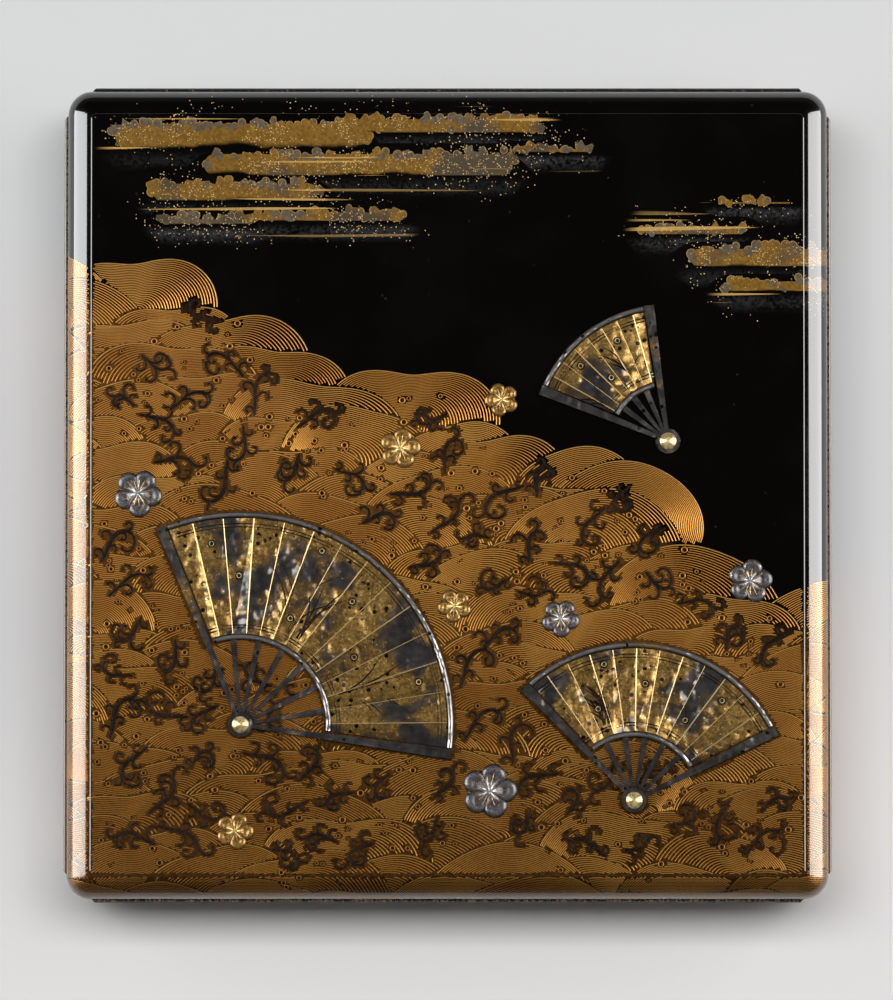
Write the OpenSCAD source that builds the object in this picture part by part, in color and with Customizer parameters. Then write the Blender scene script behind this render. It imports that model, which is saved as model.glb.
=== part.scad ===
// Lacquered writing box with a lift-off lid, raised fans on the lid, and its inkstone, water dropper,
// brushes, ink stick, paper knife and awl inside. Millimetres, Z up.
// The origin is the centre of the underside. The front of the box faces -Y.

/* [Case] */
// Width of the box over its side fields
box_w = 225; // [205:1:245]
// Depth of the box over its side fields
box_d = 239; // [225:1:260]
// Radius of the rounded upright and top edges
edge_r = 7.2; // [6:0.2:9]
// How far the flat fields of the sides stand proud of the rounded edges
field_rise = 1; // [0.6:0.1:1.4]
// Chamfer round each side field
field_chamfer = 0.35; // [0.2:0.05:0.5]
// Thickness of the wall boards
wall_t = 5; // [4:0.25:5.8]

/* [Lid] */
// Height of the lid from the joint to its rounded top edge
lid_h = 21; // [18:0.5:26]
// Thickness of the lid's top board
lid_top_t = 4.5; // [3.5:0.25:6]
// How far the top field stands proud of the rounded edge
panel_rise = 0.6; // [0.4:0.1:1]
// Corner radius of the top field
panel_corner_r = 1.6; // [1:0.2:3]
// Radius that eases the top field's rim
panel_ease_r = 0.4; // [0.2:0.05:0.4]
// Free space between the lid's walls and the lip that it sits over
lid_clear = 0.3; // [0.2:0.05:0.6]

/* [Base] */
// Height of the base up to the joint
base_h = 26; // [24:0.5:30]
// Radius of the base's bottom edge
foot_r = 2.4; // [1.5:0.1:3]
// Thickness of the floor board
floor_t = 4; // [3:0.25:4.5]
// Height of the floor board's underside above the table
floor_up = 1.5; // [1:0.25:2]
// Thickness of the lining boards that form the lip
lip_t = 2; // [1.5:0.25:2.5]
// Height of the lip above the joint
lip_rise = 5; // [4:0.5:7]
// Chamfer on the lip's outer top edge
lip_chamfer = 0.6; // [0.3:0.1:0.8]

/* [Centre board] */
// Width of the board that holds the inkstone and the water dropper
board_w = 88; // [84:0.5:94]
// Thickness of the board
board_h = 9; // [7:0.5:11]
// Free space round the board, the trays and each fitted tool
fit_gap = 0.6; // [0.4:0.1:0.8]
// Distance from the inkstone to the water dropper
tool_spacing = 14; // [10:1:20]

/* [Inkstone] */
// Width of the inkstone
stone_w = 70; // [62:1:74]
// Depth of the inkstone
stone_d = 118; // [105:1:125]
// Height of the inkstone
stone_h = 15; // [13:0.5:17]
// Corner radius of the inkstone
stone_corner_r = 3; // [2:0.5:5]
// Width of the rim round the grinding face
stone_rim = 5; // [4:0.5:7]
// Depth of the grinding face below the rim
grind_deep = 1.8; // [1:0.2:2.5]
// Depth of the ink well below the rim
well_deep = 8; // [6.5:0.5:9]
// Length of the ink well's floor
well_l = 22; // [16:1:26]
// Length of the slope from the grinding face to the well
slope_l = 16; // [10:1:22]

/* [Water dropper] */
// Width of the water dropper
dropper_w = 62; // [52:1:68]
// Depth of the water dropper
dropper_d = 36; // [30:1:42]
// Height of the water dropper
dropper_h = 15; // [13:0.5:17]
// Corner radius of the water dropper
dropper_corner_r = 8; // [5:0.5:10]
// Wall thickness of the water dropper
dropper_wall = 1.2; // [0.8:0.1:1.6]
// Radius that rounds the cover's rim
dropper_ease_r = 1; // [0.5:0.1:1.2]
// Radius of the air hole and of the pouring hole
dropper_hole_r = 1.25; // [1:0.05:1.6]
// Height of the boss round the pouring hole
spout_rise = 1.2; // [0.8:0.1:1.6]

/* [Trays] */
// Height of the two side trays
tray_h = 16; // [14.5:0.5:18]
// Thickness of a tray's walls
tray_wall = 2.2; // [1.8:0.1:2.6]
// Thickness of a tray's floor
tray_floor = 2.2; // [1.6:0.1:2.8]
// Corner radius of a tray
tray_corner_r = 2.5; // [1.5:0.25:3.5]
// Radius of the finger cut in a tray's inner wall
finger_r = 16; // [12:1:20]
// Depth of the finger cut
finger_deep = 4.5; // [3:0.5:6]

/* [Brushes] */
// Diameter of a brush handle
brush_dia = 9; // [7:0.5:10]
// Length of a brush handle
brush_l = 132; // [110:1:145]
// Length of a brush's tuft
tuft_l = 34; // [26:1:40]
// Distance between the two brushes
brush_pitch = 14; // [12:0.5:16]

/* [Ink stick, knife and awl] */
// Width of the ink stick
ink_w = 22; // [18:1:24]
// Length of the ink stick
ink_l = 92; // [70:1:100]
// Thickness of the ink stick
ink_t = 9; // [7:0.5:10]
// Chamfer on the ink stick's long edges
ink_chamfer = 1.2; // [0.6:0.1:2]
// Diameter of the knife's handle
knife_dia = 10; // [8:0.5:10]
// Length of the knife's handle
knife_l = 96; // [80:1:110]
// Length of the knife's blade
blade_l = 66; // [50:1:75]
// Height of the knife's blade
blade_h = 7; // [5:0.5:7.5]
// Thickness of the knife's blade
blade_t = 1.2; // [0.8:0.1:1.8]
// Diameter of the awl's handle
awl_dia = 9; // [7:0.5:10]
// Length of the awl's handle
awl_l = 84; // [70:1:100]
// Length of the awl's spike
spike_l = 48; // [35:1:60]
// Diameter of the awl's spike where it leaves the handle
spike_dia = 3; // [2.4:0.2:3.6]
// Height of a round handle above the tray's floor
seat_gap = 0.1; // [0.05:0.05:0.25]

/* [Fans on the lid] */
// Distance of the large fan's rivet from the left and the front edge of the top field
large_fan_in = 44; // [40:1:48]
// Distance of the middle fan's rivet from the right edge of the top field
middle_fan_in_x = 50; // [46:1:54]
// Distance of the middle fan's rivet from the front edge of the top field
middle_fan_in_y = 22; // [18:1:26]
// Distance of the small fan's rivet from the right edge of the top field
small_fan_in_x = 40; // [36:1:44]
// Distance of the small fan's rivet from the back edge of the top field
small_fan_in_y = 96; // [90:1:100]
// Outer radius of the large fan
large_fan_r = 62; // [54:1:68]
// Outer radius of the middle fan
middle_fan_r = 46; // [40:1:50]
// Outer radius of the small fan
small_fan_r = 40; // [34:1:44]
// Opening angle of the large fan
large_fan_open = 120; // [100:5:130]
// Opening angle of the middle fan
middle_fan_open = 108; // [90:6:114]
// Opening angle of the small fan
small_fan_open = 60; // [45:5:75]
// Length of bare sticks between a fan's rivet and its leaf, as a share of its radius
stick_share = 0.4; // [0.34:0.01:0.46]
// Height of the leaf's valleys above the lid
leaf_low = 0.8; // [0.5:0.1:1]
// Height of the leaf's ridges above the lid
leaf_high = 1.5; // [1.2:0.1:1.9]
// Width of the bead along a leaf's two curved edges
bead_w = 1.6; // [1.2:0.1:2.2]
// Width of a fan's two guard sticks at the leaf
guard_w = 3; // [2.4:0.1:3.6]
// Height of the guard sticks and beads above the lid
guard_h = 1.9; // [1.6:0.1:2.2]
// Width of a fan's inner sticks
stick_w = 1.7; // [1.3:0.1:2]
// Height of a fan's inner sticks
stick_h = 0.9; // [0.6:0.1:1.2]
// Radius of the round head where a fan's sticks meet
head_r = 3.6; // [3.2:0.1:4.4]
// Free space between a leaf and the parts round it
leaf_gap = 0.15; // [0.1:0.05:0.25]

/* [Studs and blossoms on the lid] */
// Radius of a ring stud
stud_r = 1.1; // [0.9:0.1:1.3]
// Height of a ring stud above the leaf's valleys
stud_up = 1; // [0.8:0.1:1.2]
// Radius of the dish in a ring stud
stud_dish_r = 0.55; // [0.4:0.05:0.7]
// Free space round a stud's shank in the leaf
stud_gap = 0.1; // [0.05:0.05:0.2]
// Radius of the rivet that holds a fan's sticks
rivet_r = 1.5; // [1.2:0.1:1.8]
// Height of the blossoms above the lid
blossom_h = 1.3; // [1:0.1:1.7]
// Radius of a blossom of full size
blossom_r = 7; // [6:0.2:7.6]

/* [Hidden] */
$fn = 64;

// Finishes, as the photograph shows them
black_lacquer = [0.05, 0.045, 0.04];
gold_lacquer = [0.48, 0.33, 0.15];
pewter = [0.38, 0.37, 0.39];
gilt = [0.62, 0.48, 0.22];
slate = [0.2, 0.2, 0.22];
soot = [0.09, 0.09, 0.1];
hair = [0.75, 0.68, 0.55];

// The core is the box without its proud side fields, and a side field starts where a corner's curve ends
core_w = box_w - 2 * field_rise;
core_d = box_d - 2 * field_rise;
panel_w = core_w - 2 * edge_r;
panel_d = core_d - 2 * edge_r;
hollow_w = core_w - 2 * wall_t;
hollow_d = core_d - 2 * wall_t;
inside_w = hollow_w - 2 * lip_t;
inside_d = hollow_d - 2 * lip_t;
floor_top = floor_up + floor_t;
top_z = base_h + lid_h;
panel_z = top_z + panel_rise;
ceiling_z = top_z - lid_top_t;
mitre_reach = 6 * wall_t;

// The board and the trays share the inside's width
board_d = inside_d - 2 * fit_gap;
tray_w = (inside_w - board_w) / 2 - 2 * fit_gap;
tray_d = inside_d - 2 * fit_gap;
tray_x = board_w / 2 + fit_gap + tray_w / 2;
tray_floor_z = floor_top + tray_floor;
tray_in_w = tray_w - 2 * tray_wall;
tools_d = stone_d + tool_spacing + dropper_d;
stone_y = -tools_d / 2 + stone_d / 2;
dropper_y = tools_d / 2 - dropper_d / 2;

// What lies in the trays is placed from the tray's walls, x towards the inner wall. The ink stick, the
// awl and the knife share the left tray's free width in four equal gaps
tool_margin = tray_wall;
tool_gap = (tray_in_w - ink_w - awl_dia - knife_dia) / 4;
brush_x = tray_in_w / 2 - brush_dia / 2 - tool_margin;
brush_y0 = -(brush_l + tuft_l) / 2;
knife_x = tray_in_w / 2 - knife_dia / 2 - tool_gap;
knife_y0 = -(knife_l + blade_l) / 2;
awl_x = knife_x - knife_dia / 2 - tool_gap - awl_dia / 2;
awl_y0 = -(awl_l + spike_l) / 2;
ink_x = ink_w / 2 + tool_gap - tray_in_w / 2;
ink_y0 = tray_wall + 2 * tool_margin - tray_d / 2;

// Each side's turn about Z: the front's outer face looks along -Y
sides = [["front", 0], ["right", 90], ["back", 180], ["left", 270]];
function turn_of(side) = [for (s = sides) if (s[0] == side) s[1]][0];
function along(side, w, d) = side == "front" || side == "back" ? w : d;
function across(side, w, d) = side == "front" || side == "back" ? d : w;

// A slab of w by d whose rim has the child profile: x runs outwards from the corner's centre, y is height
module rimmed_slab(w, d, r, z0, z1) {
    straight_w = w - 2 * r;
    straight_d = d - 2 * r;
    translate([-straight_w / 2, -straight_d / 2, z0]) cube([straight_w, straight_d, z1 - z0]);
    for (corner = [[1, 1, 0], [-1, 1, 90], [-1, -1, 180], [1, -1, 270]])
        translate([corner[0] * straight_w / 2, corner[1] * straight_d / 2, 0])
            rotate(corner[2]) rotate_extrude(angle = 90) children();
    for (edge = [[0, straight_w, straight_d], [90, straight_d, straight_w],
                 [180, straight_w, straight_d], [270, straight_d, straight_w]])
        rotate(edge[0]) translate([edge[1] / 2, edge[2] / 2, 0])
            rotate([90, 0, 0]) linear_extrude(edge[2]) children();
}

// Profile of a rim from z0 to z1 that is round at the top
module round_top_profile(reach, r, z0, z1) {
    translate([0, z0]) square([reach, z1 - r - z0]);
    if (reach > r) translate([0, z0]) square([reach - r, z1 - z0]);
    intersection() {
        translate([reach - r, z1 - r]) circle(r);
        translate([reach - r, z1 - r]) square(r);
    }
}

// The same profile with its round edge at the bottom
module round_foot_profile(reach, r, z0, z1) {
    translate([0, z0 + z1]) mirror([0, 1]) round_top_profile(reach, r, z0, z1);
}

// Sweeps the child profile along one side of a w by d rectangle and mitres its ends.
// In the profile x runs inwards from the rectangle's edge and y is height
module mitred_strip(side, w, d, z0, z1) {
    length = along(side, w, d);
    half = across(side, w, d) / 2;
    rotate(turn_of(side)) intersection() {
        translate([-length / 2, -half, 0]) rotate([90, 0, 90]) linear_extrude(length) children();
        translate([0, 0, z0 - 1]) linear_extrude(z1 - z0 + 2) polygon([
            [-length / 2, -half], [length / 2, -half],
            [length / 2 - mitre_reach, mitre_reach - half], [mitre_reach - length / 2, mitre_reach - half]
        ]);
    }
}

// The flat field that stands proud on one side, between the rounded corners
module side_field(side, z0, z1) {
    half_l = along(side, panel_w, panel_d) / 2;
    face = across(side, core_w, core_d) / 2;
    rotate(turn_of(side)) intersection() {
        translate([0, 0, z0]) linear_extrude(z1 - z0) polygon([
            [-half_l, -face], [field_rise - half_l, -face - field_rise],
            [half_l - field_rise, -face - field_rise], [half_l, -face],
            [half_l, 1 - face], [-half_l, 1 - face]
        ]);
        translate([-half_l, 1 - face, 0]) rotate([90, 0, 90]) linear_extrude(2 * half_l) polygon([
            [0, z0], [-1 - field_rise + field_chamfer, z0], [-1 - field_rise, z0 + field_chamfer],
            [-1 - field_rise, z1 - field_chamfer], [-1 - field_rise + field_chamfer, z1], [0, z1]
        ]);
    }
}

// ---- Base ----

module base_wall(side) {
    color(gold_lacquer) union() {
        intersection() {
            rimmed_slab(core_w, core_d, edge_r, 0, base_h) round_foot_profile(edge_r, foot_r, 0, base_h);
            mitred_strip(side, core_w, core_d, 0, base_h) square([wall_t, base_h]);
        }
        side_field(side, foot_r, base_h);
    }
}

module base_floor() {
    color(black_lacquer) translate([-hollow_w / 2, -hollow_d / 2, floor_up])
        cube([hollow_w, hollow_d, floor_t]);
}

module lip(side) {
    lip_top = base_h + lip_rise;
    color(black_lacquer) mitred_strip(side, hollow_w, hollow_d, floor_top, lip_top) polygon([
        [0, floor_top], [lip_t, floor_top], [lip_t, lip_top],
        [lip_chamfer, lip_top], [0, lip_top - lip_chamfer]
    ]);
}

module centre_board() {
    color(black_lacquer) difference() {
        translate([-board_w / 2, -board_d / 2, floor_top]) cube([board_w, board_d, board_h]);
        window(stone_w, stone_d, stone_corner_r, stone_y);
        window(dropper_w, dropper_d, dropper_corner_r, dropper_y);
    }
}

// A window through the centre board that leaves fit_gap round the tool standing in it
module window(w, d, r, y) {
    translate([0, y, floor_top - 1]) upright_slab(w + 2 * fit_gap, d + 2 * fit_gap, r + fit_gap, board_h + 2);
}

// A plain slab with upright edges rounded to r
module upright_slab(w, d, r, h) {
    translate([-w / 2, r - d / 2, 0]) cube([w, d - 2 * r, h]);
    translate([r - w / 2, -d / 2, 0]) cube([w - 2 * r, d, h]);
    for (x = [r - w / 2, w / 2 - r], y = [r - d / 2, d / 2 - r]) translate([x, y, 0]) cylinder(r = r, h = h);
}

// ---- Lid ----

module lid_block() {
    rimmed_slab(core_w, core_d, edge_r, base_h, top_z) round_top_profile(edge_r, edge_r, base_h, top_z);
}

module lid_wall(side) {
    color(gold_lacquer) union() {
        intersection() {
            lid_block();
            mitred_strip(side, core_w, core_d, base_h, ceiling_z)
                translate([0, base_h]) square([wall_t - lid_clear, ceiling_z - base_h]);
        }
        side_field(side, base_h, top_z - edge_r);
    }
}

module lid_top() {
    color(gold_lacquer) union() {
        intersection() {
            lid_block();
            translate([-box_w / 2, -box_d / 2, ceiling_z]) cube([box_w, box_d, lid_top_t]);
        }
        rimmed_slab(panel_w, panel_d, panel_corner_r, ceiling_z, panel_z)
            round_top_profile(panel_corner_r, panel_ease_r, ceiling_z, panel_z);
    }
}

// ---- Relief on the lid ----

// Each fan: where its rivet is, the direction its middle points in, its opening, its folds and its radius.
// The rivets are placed from the nearest edges of the top field
large_rivet = [large_fan_in - panel_w / 2, large_fan_in - panel_d / 2];
middle_rivet = [panel_w / 2 - middle_fan_in_x, middle_fan_in_y - panel_d / 2];
small_rivet = [panel_w / 2 - small_fan_in_x, panel_d / 2 - small_fan_in_y];
large_fan = [large_rivet, 52, large_fan_open, 14, large_fan_r];
middle_fan = [middle_rivet, 80, middle_fan_open, 12, middle_fan_r];
small_fan = [small_rivet, 128, small_fan_open, 8, small_fan_r];

function polar(r, a) = [r * cos(a), r * sin(a)];
function leaf_inner(fan) = fan[4] * stick_share + bead_w;
function leaf_outer(fan) = fan[4] - bead_w;
function fold_angle(fan) = fan[2] / fan[3];
// The angle that a guard stick and the space beside it take up at radius r
function guard_angle(r) = asin((guard_w / 2 + leaf_gap) / r);

// Draws children at the fan's rivet, turned so that the fan's middle lies along +X
module at_fan(fan) {
    translate([fan[0][0], fan[0][1], panel_z]) rotate(fan[1]) children();
}

// The pleated leaf, with its ridges and valleys in turn, and holes for the studs
module fan_leaf(fan, studs) {
    folds = fan[3];
    r0 = leaf_inner(fan) + leaf_gap;
    r1 = leaf_outer(fan) - leaf_gap;
    half = fan[2] / 2;
    corners = [for (i = [0:folds]) for (end = [[r0, 0], [r1, 0], [r0, 1], [r1, 1]])
        let (edge = guard_angle(end[0]),
             a = i == 0 ? edge - half : i == folds ? half - edge : i * fold_angle(fan) - half,
             h = end[1] == 0 ? 0 : i % 2 == 0 ? leaf_low : leaf_high)
        [end[0] * cos(a), end[0] * sin(a), h]];
    strips = [for (i = [0:folds - 1]) let (a = 4 * i, b = 4 * i + 4) each [
        [a, b, a + 1], [b, b + 1, a + 1],
        [a + 2, a + 3, b + 2], [b + 2, a + 3, b + 3],
        [a, a + 2, b], [b, a + 2, b + 2],
        [a + 1, b + 1, a + 3], [b + 1, b + 3, a + 3]
    ]];
    last = 4 * folds;
    ends = [[0, 1, 2], [1, 3, 2], [last, last + 2, last + 1], [last + 1, last + 2, last + 3]];
    color(gilt) at_fan(fan) difference() {
        polyhedron(corners, [for (f = concat(strips, ends)) [f[2], f[1], f[0]]]);
        for (s = studs) rotate(stud_angle(fan, s))
            translate([s[0] * fan[4], 0, -1]) cylinder(r = stud_r + stud_gap, h = leaf_high + 2, $fn = 24);
    }
}

// Two tapered guard sticks, the inner sticks up to the leaf, and the round head that the rivet goes through
module fan_sticks(fan) {
    inner_end = fan[4] * stick_share;
    sticks = fan[3] / 2;
    neck_r = head_r * 0.7;
    neck_w = 2.3 * neck_r * sin(fan[2] / sticks / 2);
    color(pewter) at_fan(fan) difference() {
        union() {
            for (side = [-1, 1]) rotate(side * fan[2] / 2) linear_extrude(guard_h) polygon([
                [0, -guard_w / 6], [fan[4], -guard_w / 2], [fan[4], guard_w / 2], [0, guard_w / 6]
            ]);
            for (i = [1:sticks - 1])
                rotate(i * fan[2] / sticks - fan[2] / 2) linear_extrude(stick_h) polygon([
                    [neck_r, -neck_w / 2], [inner_end, -stick_w / 2],
                    [inner_end, stick_w / 2], [neck_r, neck_w / 2]
                ]);
            cylinder(r = head_r, h = guard_h);
        }
        translate([0, 0, -1]) cylinder(r = rivet_r, h = guard_h + 2);
    }
}

// The two half-round beads that edge the leaf
module fan_beads(fan) {
    color(pewter) at_fan(fan) for (r = [leaf_inner(fan) - bead_w, leaf_outer(fan)]) {
        edge = guard_angle(r) + 0.1;
        rotate(edge - fan[2] / 2) rotate_extrude(angle = fan[2] - 2 * edge) bead_profile(r);
    }
}

module bead_profile(r) {
    translate([r, 0]) square([bead_w, guard_h - bead_w / 2]);
    intersection() {
        translate([r + bead_w / 2, guard_h - bead_w / 2]) circle(bead_w / 2, $fn = 24);
        translate([r, guard_h - bead_w / 2]) square([bead_w, bead_w / 2]);
    }
}

// A stud is [share of the fan's radius, the fold that it stands in, counted from the fan's right edge]
large_fan_studs = [[0.86, 2], [0.62, 4], [0.78, 6], [0.9, 8], [0.55, 8], [0.7, 11], [0.86, 12]];
middle_fan_studs = [[0.84, 2], [0.6, 3], [0.74, 6], [0.88, 8], [0.62, 9]];
small_fan_studs = [[0.82, 2], [0.62, 4], [0.84, 5]];
function stud_angle(fan, s) = (s[1] + 0.5) * fold_angle(fan) - fan[2] / 2;

module ring_stud(r, h, dish) {
    rotate_extrude() difference() {
        union() {
            square([r, h - r / 3]);
            translate([0, h - r / 3]) square([r * 0.7, r / 3]);
        }
        translate([0, h]) circle(dish, $fn = 24);
    }
}

module ring_studs() {
    color(gilt) for (set = [[large_fan, large_fan_studs], [middle_fan, middle_fan_studs],
                            [small_fan, small_fan_studs]])
        for (s = set[1]) at_fan(set[0]) rotate(stud_angle(set[0], s))
            translate([s[0] * set[0][4], 0, 0]) ring_stud(stud_r, leaf_low + stud_up, stud_dish_r);
}

// A rivet's shank, and its domed cap that covers four fifths of the sticks' round head
module fan_rivets() {
    cap_r = head_r * 0.8;
    dome_r = rivet_r * 1.9;
    color(gilt) for (fan = [large_fan, middle_fan, small_fan]) at_fan(fan) {
        cylinder(r = rivet_r, h = guard_h);
        intersection() {
            translate([0, 0, guard_h - rivet_r]) sphere(r = dome_r);
            translate([0, 0, guard_h]) cylinder(r = cap_r, h = rivet_r);
        }
    }
}

// A blossom is [the fan that it lies beside, its distance from that fan's rivet as a share of the fan's
// radius, its direction, its size as a share of the full size]
silver_blossoms = [[large_fan, 1.19, 114, 1], [large_fan, 1.21, -15, 1.14],
                   [middle_fan, 1.24, 112, 0.79], [middle_fan, 1.57, 62, 0.93]];
gold_blossoms = [[large_fan, 1.5, 60, 0.86], [large_fan, 0.5, 267, 0.79],
                 [large_fan, 1.15, 29, 0.71], [small_fan, 1.25, 166, 0.71]];

// Five domed petals round a raised heart
module blossom(r) {
    petal = r * 0.46;
    petal_out = r * 0.56;
    heart_r = r * 0.2;
    heart_h = blossom_h * 1.25;
    dome = (petal * petal + blossom_h * blossom_h) / (2 * blossom_h);
    for (i = [0:4]) rotate(72 * i + 18) translate([petal_out, 0, 0]) intersection() {
        translate([0, 0, blossom_h - dome]) sphere(r = dome);
        cylinder(r = petal * 1.3, h = blossom_h);
    }
    cylinder(r = heart_r, h = heart_h);
}

module blossoms(places, tone) {
    color(tone) for (p = places) let (rivet = p[0][0])
        translate([rivet[0], rivet[1], panel_z]) rotate(p[2]) translate([p[1] * p[0][4], 0, 0])
            blossom(p[3] * blossom_r);
}

// ---- Inkstone and water dropper ----

module inkstone() {
    back = stone_d / 2 - stone_rim;
    color(slate) translate([0, stone_y, floor_top]) difference() {
        rimmed_slab(stone_w, stone_d, stone_corner_r, 0, stone_h)
            round_top_profile(stone_corner_r, 1, 0, stone_h);
        intersection() {
            translate([0, 0, stone_h - well_deep]) upright_slab(
                stone_w - 2 * stone_rim, stone_d - 2 * stone_rim, stone_corner_r, well_deep + 1);
            translate([-stone_w / 2, 0, 0]) rotate([90, 0, 90]) linear_extrude(stone_w) polygon([
                [-stone_d / 2, stone_h - grind_deep], [back - well_l - slope_l, stone_h - grind_deep],
                [back - well_l, stone_h - well_deep], [stone_d / 2, stone_h - well_deep],
                [stone_d / 2, stone_h + 1], [-stone_d / 2, stone_h + 1]
            ]);
        }
    }
}

module dropper_cup() {
    cup_h = dropper_h - dropper_wall - dropper_ease_r;
    color(pewter) translate([0, dropper_y, floor_top]) difference() {
        rimmed_slab(dropper_w, dropper_d, dropper_corner_r, 0, cup_h)
            round_foot_profile(dropper_corner_r, dropper_ease_r, 0, cup_h);
        translate([0, 0, dropper_wall]) upright_slab(
            dropper_w - 2 * dropper_wall, dropper_d - 2 * dropper_wall,
            dropper_corner_r - dropper_wall, cup_h);
    }
}

module dropper_cover() {
    cover_z = dropper_h - dropper_wall - dropper_ease_r;
    spout = [dropper_corner_r - dropper_w / 2, dropper_corner_r - dropper_d / 2];
    color(pewter) translate([0, dropper_y, floor_top]) difference() {
        union() {
            rimmed_slab(dropper_w, dropper_d, dropper_corner_r, cover_z, dropper_h)
                round_top_profile(dropper_corner_r, dropper_ease_r, cover_z, dropper_h);
            translate([spout[0], spout[1], dropper_h - 0.5])
                cylinder(r1 = 2.6 * dropper_hole_r, r2 = 2 * dropper_hole_r, h = spout_rise + 0.5);
        }
        translate([0, 0, cover_z - 1]) cylinder(r = dropper_hole_r, h = dropper_h);
        translate([spout[0], spout[1], cover_z - 1]) cylinder(r = dropper_hole_r, h = dropper_h);
    }
}

// ---- Trays and what lies in them ----

// hand is 1 for the right tray and -1 for the left one. The finger cut is in the wall beside the inkstone
module tray(hand) {
    color(black_lacquer) translate([hand * tray_x, 0, floor_top]) difference() {
        upright_slab(tray_w, tray_d, tray_corner_r, tray_h);
        translate([0, 0, tray_floor]) upright_slab(
            tray_in_w, tray_d - 2 * tray_wall, tray_corner_r / 2, tray_h);
        translate([-hand * (tray_w / 2 + 1), 0, tray_h - finger_deep + finger_r])
            rotate([0, hand * 90, 0]) cylinder(r = finger_r, h = tray_wall + 2);
    }
}

// Children lie along Y at x from the tray's middle, towards its inner wall where x is positive
module in_tray(hand, x, y, dia) {
    translate([hand * (tray_x - x), y, tray_floor_z + seat_gap + dia / 2]) children();
}

// Turns the child half-profile about the Y axis: x is the radius and y is the place along Y
module turned_along_y() {
    rotate([-90, 0, 0]) rotate_extrude() children();
}

module brush_handle(i) {
    r = brush_dia / 2;
    color(gold_lacquer) in_tray(1, brush_x - i * brush_pitch, brush_y0, brush_dia) turned_along_y() polygon([
        [0, 0], [r * 0.5, 0], [r * 0.8, 2], [r * 0.84, 8], [r * 0.9, brush_l - 26],
        [r, brush_l - 22], [r, brush_l - 2], [r * 0.88, brush_l], [0, brush_l]
    ]);
}

module brush_tuft(i) {
    r = brush_dia / 2 * 0.8;
    color(hair) in_tray(1, brush_x - i * brush_pitch, brush_y0 + brush_l, brush_dia) turned_along_y()
        polygon([[0, 0], [r, 0], [r * 1.1, tuft_l * 0.3], [r * 0.8, tuft_l * 0.62], [r * 0.35, tuft_l * 0.87],
                 [0, tuft_l]]);
}

module knife_handle() {
    r = knife_dia / 2;
    color(gold_lacquer) in_tray(-1, knife_x, knife_y0, knife_dia) turned_along_y() polygon([
        [0, 0], [r * 0.6, 0], [r * 0.9, 3], [r, 12], [r * 0.92, knife_l - 8],
        [r, knife_l - 6], [r, knife_l], [0, knife_l]
    ]);
}

module knife_blade() {
    color(pewter) in_tray(-1, knife_x, knife_y0 + knife_l, knife_dia) translate([-blade_t / 2, 0, 0])
        rotate([90, 0, 90]) linear_extrude(blade_t) polygon([
            [0, -blade_h / 2], [blade_l - blade_h * 1.4, -blade_h / 2],
            [blade_l, blade_h / 2], [0, blade_h / 2]
        ]);
}

module awl_handle() {
    r = awl_dia / 2;
    color(gold_lacquer) in_tray(-1, awl_x, awl_y0, awl_dia) turned_along_y() polygon([
        [0, 0], [r * 0.6, 0], [r, 6], [r * 0.82, awl_l * 0.6],
        [r * 0.9, awl_l - 6], [r * 0.7, awl_l], [0, awl_l]
    ]);
}

module awl_spike() {
    color(pewter) in_tray(-1, awl_x, awl_y0 + awl_l, awl_dia)
        rotate([-90, 0, 0]) cylinder(r1 = spike_dia / 2, r2 = spike_dia / 10, h = spike_l);
}

module ink_stick() {
    c = ink_chamfer;
    color(soot) translate([ink_x - tray_x, ink_y0, tray_floor_z])
        rotate([90, 0, 0]) mirror([0, 0, 1]) linear_extrude(ink_l) polygon([
            [c - ink_w / 2, 0], [ink_w / 2 - c, 0], [ink_w / 2, c], [ink_w / 2, ink_t - c],
            [ink_w / 2 - c, ink_t], [c - ink_w / 2, ink_t], [-ink_w / 2, ink_t - c], [-ink_w / 2, c]
        ]);
}

base_wall("front");  // base_wall_front
base_wall("back");  // base_wall_back
base_wall("left");  // base_wall_left
base_wall("right");  // base_wall_right
base_floor();
lip("front");  // lip_front
lip("back");  // lip_back
lip("left");  // lip_left
lip("right");  // lip_right
centre_board();
lid_wall("front");  // lid_wall_front
lid_wall("back");  // lid_wall_back
lid_wall("left");  // lid_wall_left
lid_wall("right");  // lid_wall_right
lid_top();
fan_leaf(large_fan, large_fan_studs);  // large_fan_leaf
fan_sticks(large_fan);  // large_fan_sticks
fan_beads(large_fan);  // large_fan_beads
fan_leaf(middle_fan, middle_fan_studs);  // middle_fan_leaf
fan_sticks(middle_fan);  // middle_fan_sticks
fan_beads(middle_fan);  // middle_fan_beads
fan_leaf(small_fan, small_fan_studs);  // small_fan_leaf
fan_sticks(small_fan);  // small_fan_sticks
fan_beads(small_fan);  // small_fan_beads
fan_rivets();
ring_studs();
blossoms(silver_blossoms, pewter);
blossoms(gold_blossoms, gilt);
inkstone();
dropper_cup();
dropper_cover();
tray(-1);  // left_tray
tray(1);  // right_tray
brush_handle(0);  // brush_1_handle
brush_tuft(0);  // brush_1_tuft
brush_handle(1);  // brush_2_handle
brush_tuft(1);  // brush_2_tuft
ink_stick();
knife_handle();
knife_blade();
awl_handle();
awl_spike();
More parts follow.
